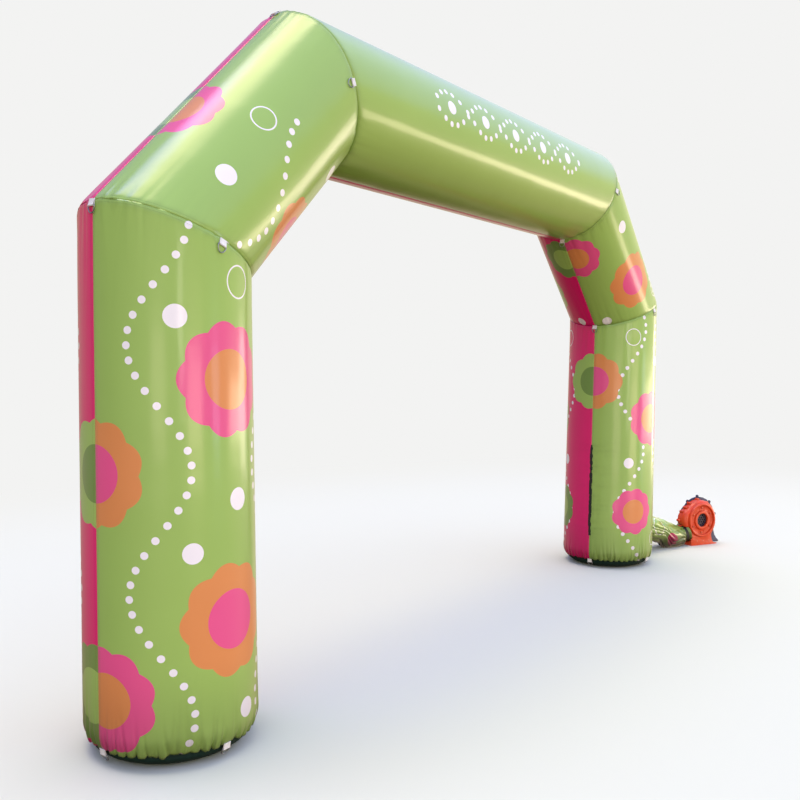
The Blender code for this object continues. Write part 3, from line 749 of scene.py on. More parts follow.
# ============================================================================ the arch's lines
@dataclass
class ArchLines:
    """Driving sizes of the tube, and places on it.

    The frame gives the arch's middle and the zip's ends.
    """

    leg_x: float = 2.45
    beam_half: float = 1.595
    knee_z: float = 2.25
    beam_z: float = 3.13
    tube_r: float = 0.375
    foot_r: float = 0.388
    lean: float = 0.022
    taper_top: float = 2.00
    turn_in: float = 0.137
    turn_up: float = 0.143
    cap_angle: float = math.radians(61.0)

    def __post_init__(self) -> None:
        left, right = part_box("cap_left"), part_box("cap_right")
        self.middle = Vector(((left[0].x + right[1].x) / 2, (left[0].y + left[1].y) / 2, 0.0))
        corners = ((-self.leg_x, 0, 0), (-self.leg_x, 0, self.knee_z),
                   (-self.beam_half, 0, self.beam_z), (self.beam_half, 0, self.beam_z),
                   (self.leg_x, 0, self.knee_z), (self.leg_x, 0, 0))
        self.corners = [Vector(c) for c in corners]
        self.along = [(self.corners[i + 1] - self.corners[i]).normalized() for i in range(5)]
        self.outward = [Vector((-d.z, 0.0, d.x)) for d in self.along]
        low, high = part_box("zip")
        self.zip_span = (low.z, high.z)

    def length(self, index: int) -> float:
        """Length of one straight along its axis."""
        return (self.corners[index + 1] - self.corners[index]).length

    def mitre_slide(self, index: int, corner: int, off: Vector) -> float:
        """How far along its axis a tube's line runs past or stops short of a corner.

        Args:
            index: The straight, 0 to 4 from the left foot.
            corner: The corner, 1 to 4.
            off: The line's offset from the axis.

        Returns:
            Distance along the axis.
        """
        normal = (self.along[corner - 1] + self.along[corner]).normalized()
        return -off.dot(normal) / self.along[index].dot(normal)

    def leg_axis(self, side_x: float, z: float) -> float:
        """A leg's axis along X at a height; side_x is -1 on the left and 1 on the right."""
        share = min(max((self.taper_top - z) / (self.taper_top - self.turn_up), 0.0), 1.0)
        return side_x * (self.leg_x - self.lean * share)

    def leg_centre(self, side_x: float) -> Vector:
        """Middle of a leg's foot, on the ground."""
        return Vector((self.leg_axis(side_x, 0.0), 0, 0)) + self.middle

    def leg_radius(self, z: float) -> float:
        """Radius of a leg at a height."""
        if z < self.turn_up:
            return self.foot_point(math.acos(1.0 - z / self.turn_up))[0]
        share = min((z - self.turn_up) / (self.taper_top - self.turn_up), 1.0)
        return self.foot_r + (self.tube_r - self.foot_r) * share

    def foot_point(self, angle: float) -> tuple[float, float]:
        """Radius and height on the rounded foot, from 0 at the ground."""
        return (self.foot_r - self.turn_in * (1.0 - math.sin(angle)),
                self.turn_up * (1.0 - math.cos(angle)))

    def seam_height(self) -> float:
        """Height of the seam between a leg's print and its cap."""
        return self.foot_point(self.cap_angle)[1]

    def way(self, index: int, side: int, turn: float) -> Vector:
        """Direction off a straight's axis, from its outer seam at 0 to its inner one at pi."""
        return self.outward[index] * math.cos(turn) + Vector((0, side * math.sin(turn), 0))


# ============================================================================ panels
@dataclass
class PrintedPanels:
    """The ten printed half-tubes, puckered where they are sewn."""

    lines: ArchLines
    leg_grid: tuple[int, int] = (230, 116)
    plain_grid: tuple[int, int] = (110, 84)
    wall: float = 0.0015
    seam_dip: float = 0.0032
    seam_reach: float = 0.012
    mitre_pucker: float = 0.0026
    mitre_pitch: float = 0.050
    mitre_depth: float = 0.16
    mitre_reach: float = 0.055
    corner_fold: float = 0.0065
    corner_pitch: float = 0.080
    corner_depth: float = 0.9
    corner_reach: float = 0.17
    gather: float = 0.0210
    gather_pitch: float = 0.046
    gather_reach: float = 0.056
    scallop: float = 0.009
    loop_half: float = 0.019
    zip_pucker: float = 0.0050
    zip_pitch: float = 0.036
    zip_reach: float = 0.085
    tight_pitch: float = 0.35
    corner_span: tuple[float, float, float] = (0.018, 0.05, 0.27)
    gather_depths: tuple[float, float] = (0.40, 0.25)
    gather_least: float = 0.022
    gather_patch: float = 0.16
    small_gather: float = 0.0035
    small_reach: float = 0.030
    loop_ease: tuple[float, float] = (0.003, 0.020)
    zip_depth: float = 0.5
    zip_back: float = 0.45
    zip_clear: float = 0.034
    zip_patch: float = 0.11
    mitre_spare: float = 0.45
    hem_lap: float = 0.003
    hem_wave: float = 0.007
    hem_pitch: float = 0.11
    # Painted shade near the ground on the legs: the height where it starts and the share of colour
    # kept at the ground.
    leg_ground_shade: tuple[float, float] = (0.50, 0.66)
    names: tuple[str, ...] = ("leg_left", "shoulder_left", "beam", "shoulder_right", "leg_right")

    def build(self) -> list[Object]:
        """Make the ten panels.

        Returns:
            The pieces, from the left foot round to the right, front before back.
        """
        return [self._panel(index, side, swaps) for index in range(len(self.names))
                for side, swaps in ((-1, {}), (1, BACK_SWAPS))]

    def _panel(self, index: int, side: int, swaps: dict[Ink, Ink]) -> Object:
        """One half-tube with its finish; side is -1 in front."""
        lines, name = self.lines, self.names[index]
        word, slot = ("front", "green_print") if side < 0 else ("back", "pink_print")
        leg = index in (0, 4)
        # Legs get painted shade towards the ground; the other straights get none.
        height, keep = self.leg_ground_shade if leg else (0.0, 1.0)
        cloth = PrintedCloth(f"coated_print_{name}_{word}", swaps, PRINTS[name],
                             ground_shade_height=height, ground_shade_keep=keep)
        bm = cloth_grid(*(self.leg_grid if leg else self.plain_grid),
                        self._leg_shape(index, side) if leg else self._plain_shape(index, side),
                        flip=(side < 0) == (index != 4), ease=True,
                        seams=self._seams(index, side))
        mark_folds(bm)
        piece = finish_piece(f"{name}_{word}_cloth", bm, cloth.material(),
                             [f"{name}_{word}"], self.wall)
        length = lines.length(index)
        return piece

    def _span(self, index: int, side: int, turn: float) -> tuple[float, float]:
        """Where a tube's cloth starts and ends along its axis, at an angle round it."""
        lines = self.lines
        off = lines.way(index, side, turn) * lines.tube_r
        return (lines.mitre_slide(index, index, off),
                lines.length(index) + lines.mitre_slide(index, index + 1, off))

    def _leg_span(self, index: int, side: int, turn: float) -> tuple[float, float]:
        """Heights of a leg panel's hem and of its mitre, at an angle round the leg."""
        lines = self.lines
        slide = lines.mitre_slide(index, 1 if index == 0 else 4,
                                  lines.way(index, side, turn) * lines.tube_r)
        around = turn * lines.tube_r
        uneven = self.hem_wave * wrinkle(around / self.hem_pitch, side * 3.1, index)
        uneven -= self.scallop * (self._hem_fold(around, index + side) - 0.5)
        return (lines.seam_height() - self.hem_lap + uneven,
                lines.knee_z + (slide if index == 0 else -slide))

    def _seams(self, index: int, side: int) -> Callable[[float, float], tuple[float, float]]:
        """Run along the nearest sewn edge, and the distance from it."""
        radius = self.lines.tube_r
        span = self._leg_span if index in (0, 4) else self._span

        def nearest(across: float, share: float) -> tuple[float, float]:
            turn = math.pi * across
            low, high = span(index, side, turn)
            place = low + (high - low) * share
            aside = min(turn, math.pi - turn) * radius
            ends = min(place - low, high - place)
            return (place, aside) if aside < ends else (turn * radius, ends)

        return nearest

    def _side_dip(self, round_at: float, radius: float) -> float:
        """Dip of the cloth into the outer and inner seams."""
        near = min(round_at, math.pi - round_at) * radius
        return -self.seam_dip * 0.55 * math.exp(-(near / self.seam_reach) ** 2)

    def _mitre_dip(self, far: float, around: float, key: float) -> float:
        """Dip and puckers beside a mitre, at a distance from it."""
        dip = -self.seam_dip * math.exp(-(far / self.seam_reach) ** 2)
        fold = crease(wrinkle(around / self.mitre_pitch, far / self.mitre_depth, key)) - 0.5
        tight = 0.25 + 0.75 * soft(abs(wrinkle(around / self.tight_pitch, key + 4.0)) * 1.8)
        dip += self.mitre_pucker * tight * fold * math.exp(-far / self.mitre_reach)
        edge = min(around, math.pi * self.lines.tube_r - around)
        start, rise, fall = self.corner_span
        weight = soft((edge - start) / rise) * math.exp(-(edge / fall) ** 2)
        long_fold = crease(wrinkle(around / self.corner_pitch, far / self.corner_depth,
                                   key + 20.0)) - 0.6
        return dip + self.corner_fold * weight * long_fold * math.exp(-far / self.corner_reach)

    def _plain_shape(self, index: int, side: int) -> Surface:
        """Surface of a shoulder or the beam."""
        lines = self.lines
        start, along = lines.corners[index], lines.along[index]

        def shape(across: float, share: float) -> tuple[Vector, float, float]:
            turn = math.pi * across
            low, high = self._span(index, side, turn)
            place = low + (high - low) * share
            around = turn * lines.tube_r
            dip = self._side_dip(turn, lines.tube_r)
            dip += self._mitre_dip(place - low, around, index + 10 * side)
            dip += self._mitre_dip(high - place, around, index + 1 + 10 * side)
            off = lines.way(index, side, turn) * (lines.tube_r + dip)
            return start + along * place + off + lines.middle, around, place

        return shape

    def _leg_shape(self, index: int, side: int) -> Surface:
        """Surface of a leg's panel from the cap seam to the mitre."""
        lines = self.lines
        side_x = -1.0 if index == 0 else 1.0

        def shape(across: float, share: float) -> tuple[Vector, float, float]:
            turn = math.pi * across
            around = turn * lines.tube_r
            low, top = self._leg_span(index, side, turn)
            z = low + (top - low) * share
            radius = lines.leg_radius(z)
            dip = self._side_dip(turn, radius) + self._mitre_dip(top - z, around, index + side)
            dip += self._gathers(z - low, around, index + side)
            if index == 4:
                dip += self._zip_puckers(turn, radius, z, side)
            off = lines.way(index, side, turn) * (radius + dip)
            return Vector((lines.leg_axis(side_x, z), 0, z)) + off + lines.middle, around, z

        return shape

    def _hem_fold(self, around: float, key: float) -> float:
        """0 in a valley of the gathered hem to 1 on a crest; flat under the webbing loops."""
        fold = crease(wrinkle(around / self.gather_pitch, 0.0, key))
        return 0.5 + (fold - 0.5) * self._clear_of_loops(around)

    def _clear_of_loops(self, around: float) -> float:
        """0 under a webbing loop, 1 away from it."""
        half_way = math.pi * self.lines.tube_r / 2
        near = min(around, abs(around - half_way), abs(around - 2 * half_way))
        inside, rise = self.loop_ease
        return soft((near - self.loop_half + inside) / rise)

    def _gathers(self, height: float, around: float, key: float) -> float:
        """Sharp radial gathers above the cap seam, of uneven length."""
        pitch, (long, short) = self.gather_pitch, self.gather_depths
        long_fold = crease(wrinkle(around / pitch, height / long, key))
        short_fold = crease(wrinkle(around / pitch * 2.1, height / short, key + 7))
        reach = self.gather_reach * (1.0 + 0.9 * wrinkle(around / self.gather_patch, key))
        depth = self.gather * math.exp(-height / max(reach, self.gather_least))
        near = self.small_gather * math.exp(-height / self.small_reach)
        folds = depth * (long_fold - 0.66) + near * (short_fold - 0.5)
        return folds * self._clear_of_loops(around)

    def _zip_puckers(self, turn: float, radius: float, z: float, side: int) -> float:
        """Short level puckers beside the zip."""
        low, high = self.lines.zip_span
        inside = soft((z - low + 0.05) / 0.1) * soft((high + 0.12 - z) / 0.15)
        near = (math.pi - turn) * radius
        depth = self.zip_pucker * (1.0 if side < 0 else self.zip_back)
        depth *= soft(near / self.zip_clear)
        reach = self.zip_reach * (1.0 + 0.5 * wrinkle(z / self.zip_patch, 5.0))
        fold = crease(wrinkle(z / self.zip_pitch, near / self.zip_depth, 2.0)) - 0.55
        return inside * depth * fold * math.exp(-near / reach)


# The print: a generic scatter of scalloped discs, spots, thin rings and wavy dotted lines.
PRINTS: dict[str, tuple[Stamp, ...]] = {
    "leg_left": (
        Stamp(Motif.TRAIL, 0.30, 0.2, 0.13),
        Stamp(Motif.TRAIL, 0.90, 3.3, 0.10),
        Stamp(Motif.ROSETTE, 0.62, 1.66, 0.25, Ink.PINK, Ink.ORANGE),
        Stamp(Motif.ROSETTE, 0.00, 1.26, 0.24, Ink.ORANGE, Ink.PINK),
        Stamp(Motif.ROSETTE, 0.62, 0.62, 0.25, Ink.ORANGE, Ink.PINK),
        Stamp(Motif.ROSETTE, 1.16, 1.20, 0.20, Ink.PINK, Ink.ORANGE),
        Stamp(Motif.ROSETTE, 0.05, 0.30, 0.23, Ink.PINK, Ink.ORANGE),
        Stamp(Motif.SPOT, 0.66, 1.14, 0.050),
        Stamp(Motif.SPOT, 0.70, 0.20, 0.045),
        Stamp(Motif.SPOT, 0.37, 1.92, 0.050),
        Stamp(Motif.SPOT, 0.43, 0.93, 0.045),
        Stamp(Motif.RING, 0.68, 2.08, 0.070),
        Stamp(Motif.RING, 0.99, 0.40, 0.060),
    ),
    "shoulder_left": (
        Stamp(Motif.TRAIL, 0.62, 0.0, 0.12, wave=1.0, high=0.80),
        Stamp(Motif.ROSETTE, 0.96, 0.44, 0.21, Ink.ORANGE, Ink.PINK),
        Stamp(Motif.ROSETTE, 0.02, 0.50, 0.20, Ink.PINK, Ink.ORANGE),
        Stamp(Motif.SPOT, 0.42, 0.24, 0.050),
        Stamp(Motif.SPOT, 0.90, 0.88, 0.045),
        Stamp(Motif.RING, 0.38, 0.62, 0.060),
    ),
    "beam": (
        *(Stamp(Motif.TRAIL, 0.50, phase, 0.100, wave=0.74, low=0.69, high=2.57)
          for phase in (0.35, 3.49)),
        *(Stamp(Motif.SPOT, 0.50, 0.884 + 0.37 * i, 0.040) for i in range(5)),
    ),
    "shoulder_right": (
        Stamp(Motif.TRAIL, 0.34, 2.2, 0.14, wave=1.20),
        Stamp(Motif.ROSETTE, 0.72, 0.80, 0.24, Ink.ORANGE, Ink.PINK),
        Stamp(Motif.ROSETTE, 1.12, 0.36, 0.19, Ink.PINK, Ink.ORANGE),
        Stamp(Motif.SPOT, 0.66, 0.30, 0.050),
        Stamp(Motif.SPOT, 1.06, 1.04, 0.040),
        Stamp(Motif.RING, 0.46, 1.10, 0.065),
    ),
    "leg_right": (
        Stamp(Motif.TRAIL, 0.40, 1.9, 0.14),
        Stamp(Motif.TRAIL, 0.84, 4.9, 0.13),
        Stamp(Motif.ROSETTE, 1.17, 1.62, 0.24, Ink.ORANGE, Ink.PINK),
        Stamp(Motif.ROSETTE, 0.62, 1.30, 0.24, Ink.PINK, Ink.ORANGE),
        Stamp(Motif.ROSETTE, 0.24, 0.52, 0.22, Ink.ORANGE, Ink.PINK),
        Stamp(Motif.ROSETTE, 0.80, 0.50, 0.20, Ink.PINK, Ink.ORANGE),
        Stamp(Motif.SPOT, 0.52, 1.80, 0.045),
        Stamp(Motif.SPOT, 0.86, 0.92, 0.045),
        Stamp(Motif.RING, 0.84, 2.00, 0.070),
        Stamp(Motif.RING, 0.52, 0.24, 0.060),
    ),
}

SLEEVE_PRINT = (
    Stamp(Motif.RING, 0.36, 0.34, 0.080),
    Stamp(Motif.RING, 0.14, 0.50, 0.070),
    Stamp(Motif.ROSETTE, 0.28, 0.19, 0.075, Ink.ORANGE, Ink.ORANGE),
    Stamp(Motif.ROSETTE, 0.22, 0.15, 0.070, Ink.PINK, Ink.PINK),
    Stamp(Motif.SPOT, 0.44, 0.56, 0.070, Ink.MAGENTA),
    Stamp(Motif.SPOT, 0.08, 0.22, 0.060, Ink.MAGENTA),
    Stamp(Motif.SPOT, 0.66, 0.60, 0.080, Ink.ORANGE),
)


# ============================================================================ base caps
@dataclass
class BaseCaps:
    """Black cloth bottoms, drawn up round the foot and gathered into the print."""

    lines: ArchLines
    steps: int = 288
    turns: int = 12
    hub_r: float = 0.02
    flat_r: float = 0.12
    rise: float = 0.016
    tuck: float = 0.0230
    pucker: float = 0.0060
    pitch: float = 0.050
    wall: float = 0.0015
    turn_share: float = 0.6
    tuck_from: float = 0.62

    def build(self, cloth: PlainCloth) -> list[Object]:
        """Make the two caps.

        Args:
            cloth: Their finish.

        Returns:
            The pieces, left then right.
        """
        mat = cloth.material()
        across = 2 * (self.lines.foot_r + self.lines.seam_height() * self.turn_share)
        made = []
        for name, side_x in (("left", -1.0), ("right", 1.0)):
            piece = finish_piece(f"cap_{name}_cloth", self._shape(side_x), mat,
                                 [f"cap_{name}"], self.wall)
            made.append(piece)
        return made

    def _shape(self, side_x: float) -> BMesh:
        """A disc that turns up at its edge, spun from its outline, with its hub filled."""
        lines = self.lines
        top = math.acos(1.0 - (lines.seam_height() + self.rise) / lines.turn_up)
        outline = [(self.hub_r, 0.0), (self.flat_r, 0.0), (lines.foot_r - lines.turn_in, 0.0)]
        outline += [lines.foot_point(top * i / self.turns) for i in range(1, self.turns + 1)]
        bm = spun(outline, self.steps)
        hub = [e for e in bm.edges
               if e.is_boundary and e.verts[0].co.xy.length < 1.5 * self.hub_r]
        bmesh.ops.contextual_create(bm, geom=hub)
        bmesh.ops.recalc_face_normals(bm, faces=bm.faces)
        for vert in bm.verts:
            self._pucker(vert, side_x)
        bm.transform(Matrix.Translation(lines.leg_centre(side_x)))
        return bm

    def _pucker(self, vert: BMVert, side_x: float) -> None:
        """Gather the turned-up edge and tuck it under the print."""
        if vert.co.z <= 0.0:
            return
        out = Vector((vert.co.x, vert.co.y, 0)).normalized()
        rise = vert.co.z / self.lines.seam_height()
        way = out * (self.lines.foot_r / self.pitch)
        fold = crease(wrinkle(way.x, way.y, side_x)) - 0.6
        from_share = self.tuck_from
        move = self.pucker * fold * soft(rise) - self.tuck * soft((rise - from_share)
                                                                  / (1 - from_share))
        vert.co += out * move


# ============================================================================ webbing and rings
@dataclass
class Tethers:
    """Webbing loops sewn into the seams, each folded round the bar of a bent D-ring."""

    lines: ArchLines
    width: float = 0.038
    thick: float = 0.0015
    drop: float = 0.026
    start: float = 0.004
    root: float = 0.006
    lift: float = 0.0024
    ring_lift: float = 0.007
    wire_r: float = 0.0024
    ring_half: float = 0.0225
    ring_depth: float = 0.033
    play: float = 0.0006
    layer_play: float = 0.0002
    wrap_half: float = math.radians(130.0)
    columns: int = 10
    wrap_steps: int = 16
    bow_steps: int = 36
    bar_steps: int = 8
    corner: float = 0.006
    seam_step: float = 0.02
    edge: float = 0.0004

    def build(self, tape: StitchedTape, steel: Metal) -> list[Object]:
        """Make every loop and ring.

        Args:
            tape: The webbing's finish.
            steel: The rings' finish.

        Returns:
            The pieces.
        """
        tape_mat, steel_mat = tape.material(), steel.material()
        made = []
        for name, place in self._mitre_places() + self._foot_places():
            made.append(self._loop(name, place, tape_mat))
            points = [place @ p for p in self._ring_line()]
            made.append(wire_piece(f"d_ring_{name}", points, self.wire_r, steel_mat,
                                   [f"ring_{name}"]))
        return made

    @staticmethod
    def _place(origin: Vector, down: Vector, out: Vector) -> Matrix:
        """Local X across the webbing, Y down it and Z off the cloth."""
        down = down.normalized()
        out = (out - down * out.dot(down)).normalized()
        turn = Matrix((down.cross(out), down, out)).transposed().to_4x4()
        return Matrix.Translation(origin) @ turn

    def _mitre_places(self) -> list[tuple[str, Matrix]]:
        """Name and place of each loop that is sewn into a mitre."""
        lines = self.lines
        places = []
        for corner, name in enumerate(("knee_left", "beam_left", "beam_right", "knee_right"), 1):
            at = lines.corners[corner] + lines.middle
            down = (lines.along[corner - 1] + lines.along[corner]) * (-1 if corner < 3 else 1)
            for side, word in ((-1, "front"), (1, "back")):
                out = Vector((0, side, 0))
                places.append((f"{name}_{word}", self._place(at + out * lines.tube_r, down, out)))
            bisector = (lines.outward[corner - 1] + lines.outward[corner]).normalized()
            reach = lines.tube_r / bisector.dot(lines.outward[corner])
            if corner < 3:
                word, down, out = "outer", -lines.along[corner - 1], lines.outward[corner - 1]
            else:
                word, reach, down, out = "inner", -reach, -UP, Vector((-1, 0, 0))
            places.append((f"{name}_{word}", self._place(at + bisector * reach, down, out)))
        return places

    def _foot_places(self) -> list[tuple[str, Matrix]]:
        """Name and place of each loop that is sewn into a cap seam."""
        lines = self.lines
        radius, height = lines.foot_point(lines.cap_angle)
        lower_r, lower_z = lines.foot_point(lines.cap_angle - self.seam_step)
        places = []
        for leg, outer in (("foot_left", -1), ("foot_right", 1)):
            for word, way in (("front", Vector((0, -1, 0))), ("back", Vector((0, 1, 0))),
                              ("outer", Vector((outer, 0, 0))), ("inner", Vector((-outer, 0, 0)))):
                at = lines.leg_centre(outer) + way * radius + UP * height
                down = way * (lower_r - radius) + UP * (lower_z - height)
                places.append((f"{leg}_{word}", self._place(at, down, way)))
        return places

    def _loop(self, name: str, place: Matrix, mat: Material) -> Object:
        """One strip of webbing, down from the seam, round the bar and up again."""
        eye = self.wire_r + self.play + self.thick / 2
        half = self.thick / 2 + self.layer_play
        line = [Vector((self.start - self.root, self.lift - half)),
                Vector((self.start, self.lift - half))]
        for i in range(self.wrap_steps + 1):
            turn = self.wrap_half * (2 * i / self.wrap_steps - 1)
            line.append(Vector((self.drop + eye * math.cos(turn),
                                self.ring_lift + eye * math.sin(turn))))
        line += [Vector((self.start, self.lift + half)),
                 Vector((self.start - self.root, self.lift + half * 0.6))]
        lengths = run_lengths(line)

        def shape(across: float, share: float) -> tuple[Vector, float, float]:
            at = round(share * (len(line) - 1))
            aside = (across - 0.5) * self.width
            return place @ Vector((aside, *line[at])), aside, lengths[at]

        piece = finish_piece(f"webbing_{name}", cloth_grid(self.columns, len(line) - 1, shape),
                             mat, [f"web_{name}"], self.thick, offset=0.0)
        edge = piece.modifiers.new("selvedge", "BEVEL")
        edge.width = self.edge
        edge.segments = 2
        edge.angle_limit = math.radians(60)
        return piece

    def _ring_line(self) -> list[Vector]:
        """Middle line of the bow and the bar, with rounded corners between them."""
        half, cut = self.ring_half, self.corner * 0.25
        turns = [math.pi * i / self.bow_steps for i in range(self.bow_steps + 1)]
        line = [Vector((half * math.cos(turn), self.drop + self.ring_depth * math.sin(turn),
                        self.ring_lift)) for turn in turns]
        line[0].x -= cut
        line[-1].x += cut
        return line + [Vector((cut - half + 2 * half * i / self.bar_steps, self.drop,
                               self.ring_lift)) for i in range(1, self.bar_steps)]


# ============================================================================ zip
@dataclass
class Zip:
    """Black coil zip on the right leg's inner seam: a woven tape and the closed coil under it."""

    lines: ArchLines
    grid: tuple[int, int] = (18, 520)
    half: float = 0.014
    lift: float = 0.0009
    wave: float = 0.0007
    wave_pitch: float = 0.045
    coil_half: float = 0.0030
    coil_rise: float = 0.0012
    coil_pitch: float = 0.0060
    edge_wave: float = 0.0008
    edge_pitch: float = 0.09
    thick: float = 0.0011

    def build(self, tape: StitchedTape) -> Object:
        """Make the zip as one piece, with its coil standing up along the middle.

        Args:
            tape: Its finish.

        Returns:
            The piece.
        """
        low, high = self.lines.zip_span
        length = high - low

        def shape(across: float, share: float) -> tuple[Vector, float, float]:
            aside = (across - 0.5) * 2 * self.half
            z = low + length * share
            radius = self.lines.leg_radius(z)
            coil = 1.0 - min(abs(aside) / self.coil_half, 1.0)
            tooth = 0.65 + 0.35 * math.sin(2 * math.pi * z / self.coil_pitch)
            rise = self.lift + self.wave * wrinkle(z / self.wave_pitch, aside * 20) \
                + self.coil_rise * soft(coil) * tooth
            edge = self.edge_wave * wrinkle(z / self.edge_pitch, 9.0) * abs(aside) / self.half
            turn = math.pi + (aside + edge) / radius
            reach = radius + rise
            point = Vector((self.lines.leg_axis(1.0, z) + reach * math.cos(turn),
                            reach * math.sin(turn), z))
            return point + self.lines.middle, aside, z - low

        piece = finish_piece("zip_tape", cloth_grid(*self.grid, shape), tape.material(),
                             ["zip"], self.thick)
        return piece


# ============================================================================ air sleeve
@dataclass
class AirSleeve:
    """Printed cloth sleeve from the leg to the blower, half full of air and creased."""

    lines: ArchLines
    blower: BlowerPlace
    sides: int = 112
    rows: int = 170
    course: tuple[tuple[float, float, float], ...] = (
        (0.00, 0.250, 0.135), (0.20, 0.238, 0.134), (0.42, 0.217, 0.130),
        (0.60, 0.182, 0.117), (0.75, 0.126, 0.124), (0.90, 0.103, 0.107))
    outlet_r: float = 0.086
    cuff_r: float = 0.101
    cuff_end: float = 0.078
    cuff_roll: tuple[float, float] = (0.008, 0.002)
    strap: tuple[float, float] = (0.100, 0.134)
    strap_lap: float = 0.004
    neck: float = 0.168
    neck_r: float = 0.105
    cloth: float = 0.002
    gap: float = 0.0003
    wall: float = 0.0015
    fold: float = 0.0115
    tie_fold: float = 0.0065
    small_fold: float = 0.0069
    plump: float = 0.15
    tie_reach: float = 0.13
    leg_reach: float = 0.07
    evening: int = 14
    sag: float = 1.03
    flat_width: float = 0.84
    tucked: float = 0.10
    print_radius: float = 0.125

    def __post_init__(self) -> None:
        lines, height = self.lines, self.course[0][1]
        self.start = lines.middle + Vector((lines.leg_axis(1.0, height) + lines.leg_radius(height),
                                            0, 0))
        neck = self.blower.outlet(self.neck)
        self.run = Vector((neck.x - self.start.x, neck.y - self.start.y, 0)).normalized()

    def build(self, cloth: PrintedCloth) -> Object:
        """Make the sleeve.

        Args:
            cloth: Its finish.

        Returns:
            The piece.
        """
        stations = self._stations()
        rings = [self._ring(i, *station) for i, station in enumerate(stations)]
        middles = [station[0] for station in stations]
        lengths = run_lengths(middles)
        whole, tied_from = lengths[-1], lengths[-4]

        def shape(across: float, share: float) -> tuple[Vector, float, float]:
            place = whole * share
            step = max(i for i in range(len(lengths) - 1) if lengths[i] <= place + 1e-9)
            part = (place - lengths[step]) / (lengths[step + 1] - lengths[step])
            column = round(across * self.sides) % self.sides
            point = rings[step][column].lerp(rings[step + 1][column], part)
            return point, across * 2 * math.pi * self.print_radius, place

        bm = cloth_grid(self.sides, self.rows, shape)
        bmesh.ops.remove_doubles(bm, verts=bm.verts, dist=2 * MERGE_DIST)
        loose = [v for v in bm.verts if self._far_along(v.co) < tied_from - 0.012
                 and not v.is_boundary]
        for _ in range(self.evening):
            bmesh.ops.smooth_vert(bm, verts=loose, factor=0.5, use_axis_x=True, use_axis_y=True,
                                  use_axis_z=True)
        bm.normal_update()
        self._creases(loose, tied_from)
        bmesh.ops.recalc_face_normals(bm, faces=bm.faces)
        mark_folds(bm)
        piece = finish_piece("air_sleeve_cloth", bm, cloth.material(),
                             ["air_sleeve"], self.wall)
        return piece

    def _stations(self) -> list[tuple[Vector, float, Vector]]:
        """Middle, radius and direction of the sleeve, from the leg to its loose end."""
        outlet = self.blower.outlet
        stations = []
        for share, level, radius in self.course:
            middle = self.start.lerp(outlet(self.neck), share)
            middle.z = level
            stations.append((middle, radius, self.run))
        inward = (outlet(0.0) - outlet(1.0)).normalized()
        tied = self.outlet_r + self.gap + self.cloth
        near, far = self.strap
        back, under = self.cuff_roll
        for distance, radius in ((self.neck, self.neck_r), (far + self.strap_lap, tied),
                                 (near, tied), (self.cuff_end + back, self.cuff_r - under),
                                 (self.cuff_end, self.cuff_r)):
            stations.append((outlet(distance), radius, inward))
        return stations

    def _ring(self, index: int, middle: Vector, radius: float, along: Vector) -> list[Vector]:
        """Points round the sleeve at one station; the first ring lies on the leg."""
        lines = self.lines
        across = UP.cross(along).normalized()
        over = along.cross(across).normalized()
        ring = []
        for j in range(self.sides):
            turn = 2 * math.pi * j / self.sides
            point = middle + (across * math.cos(turn) + over * math.sin(turn)) * radius
            if index == 0:
                reach = lines.leg_radius(point.z) + 2 * self.gap
                aside = point.y - lines.middle.y
                point.x = lines.middle.x + lines.leg_axis(1.0, point.z) \
                    + math.sqrt(reach ** 2 - aside ** 2)
            point.z = max(point.z, 0.0)
            ring.append(point)
        return ring

    def _far_along(self, point: Vector) -> float:
        """Rough distance of a point from the leg, along the sagging sleeve."""
        return (point - self.start).dot(self.run) * self.sag

    def _creases(self, loose: list[BMVert], tied_from: float) -> None:
        """Slanting creases of slack cloth, and gathers towards the strap and the leg."""
        moves = {}
        for vert in loose:
            far = self._far_along(vert.co)
            side = math.atan2(vert.normal.z, -vert.normal.y)
            bend = 0.8 * wrinkle(far / 0.22, side * 0.6, 11.0)
            body = crease(wrinkle(side * 1.5 + far * 1.6 + bend, far / 0.42, 3.0)) - 0.6
            body *= 0.7 + 0.8 * soft(0.5 + wrinkle(far / 0.3, side * 0.7, 21.0))
            small = crease(wrinkle(far / 0.12 + side * 1.1 + bend, side * 1.2, 8.0)) - 0.6
            small *= soft(0.5 + 1.6 * wrinkle(far / 0.16, side, 17.0))
            tie = crease(wrinkle(side * 3.4, far / 0.3, 5.0)) - 0.6
            near_tie = soft(1 - (tied_from - far) / self.tie_reach)
            near_leg = soft(1 - far / self.leg_reach)
            ends = soft((tied_from - far - 0.005) / 0.04) * soft(far / 0.03 + 0.15)
            move = (self.fold * body * (1 - near_tie) + self.small_fold * small
                    + self.tie_fold * tie * max(near_tie, near_leg)) * ends
            moves[vert] = vert.normal * (move + self.fold * self.plump)
        for vert, move in moves.items():
            vert.co += move
            vert.co.z = max(vert.co.z, 0.0)


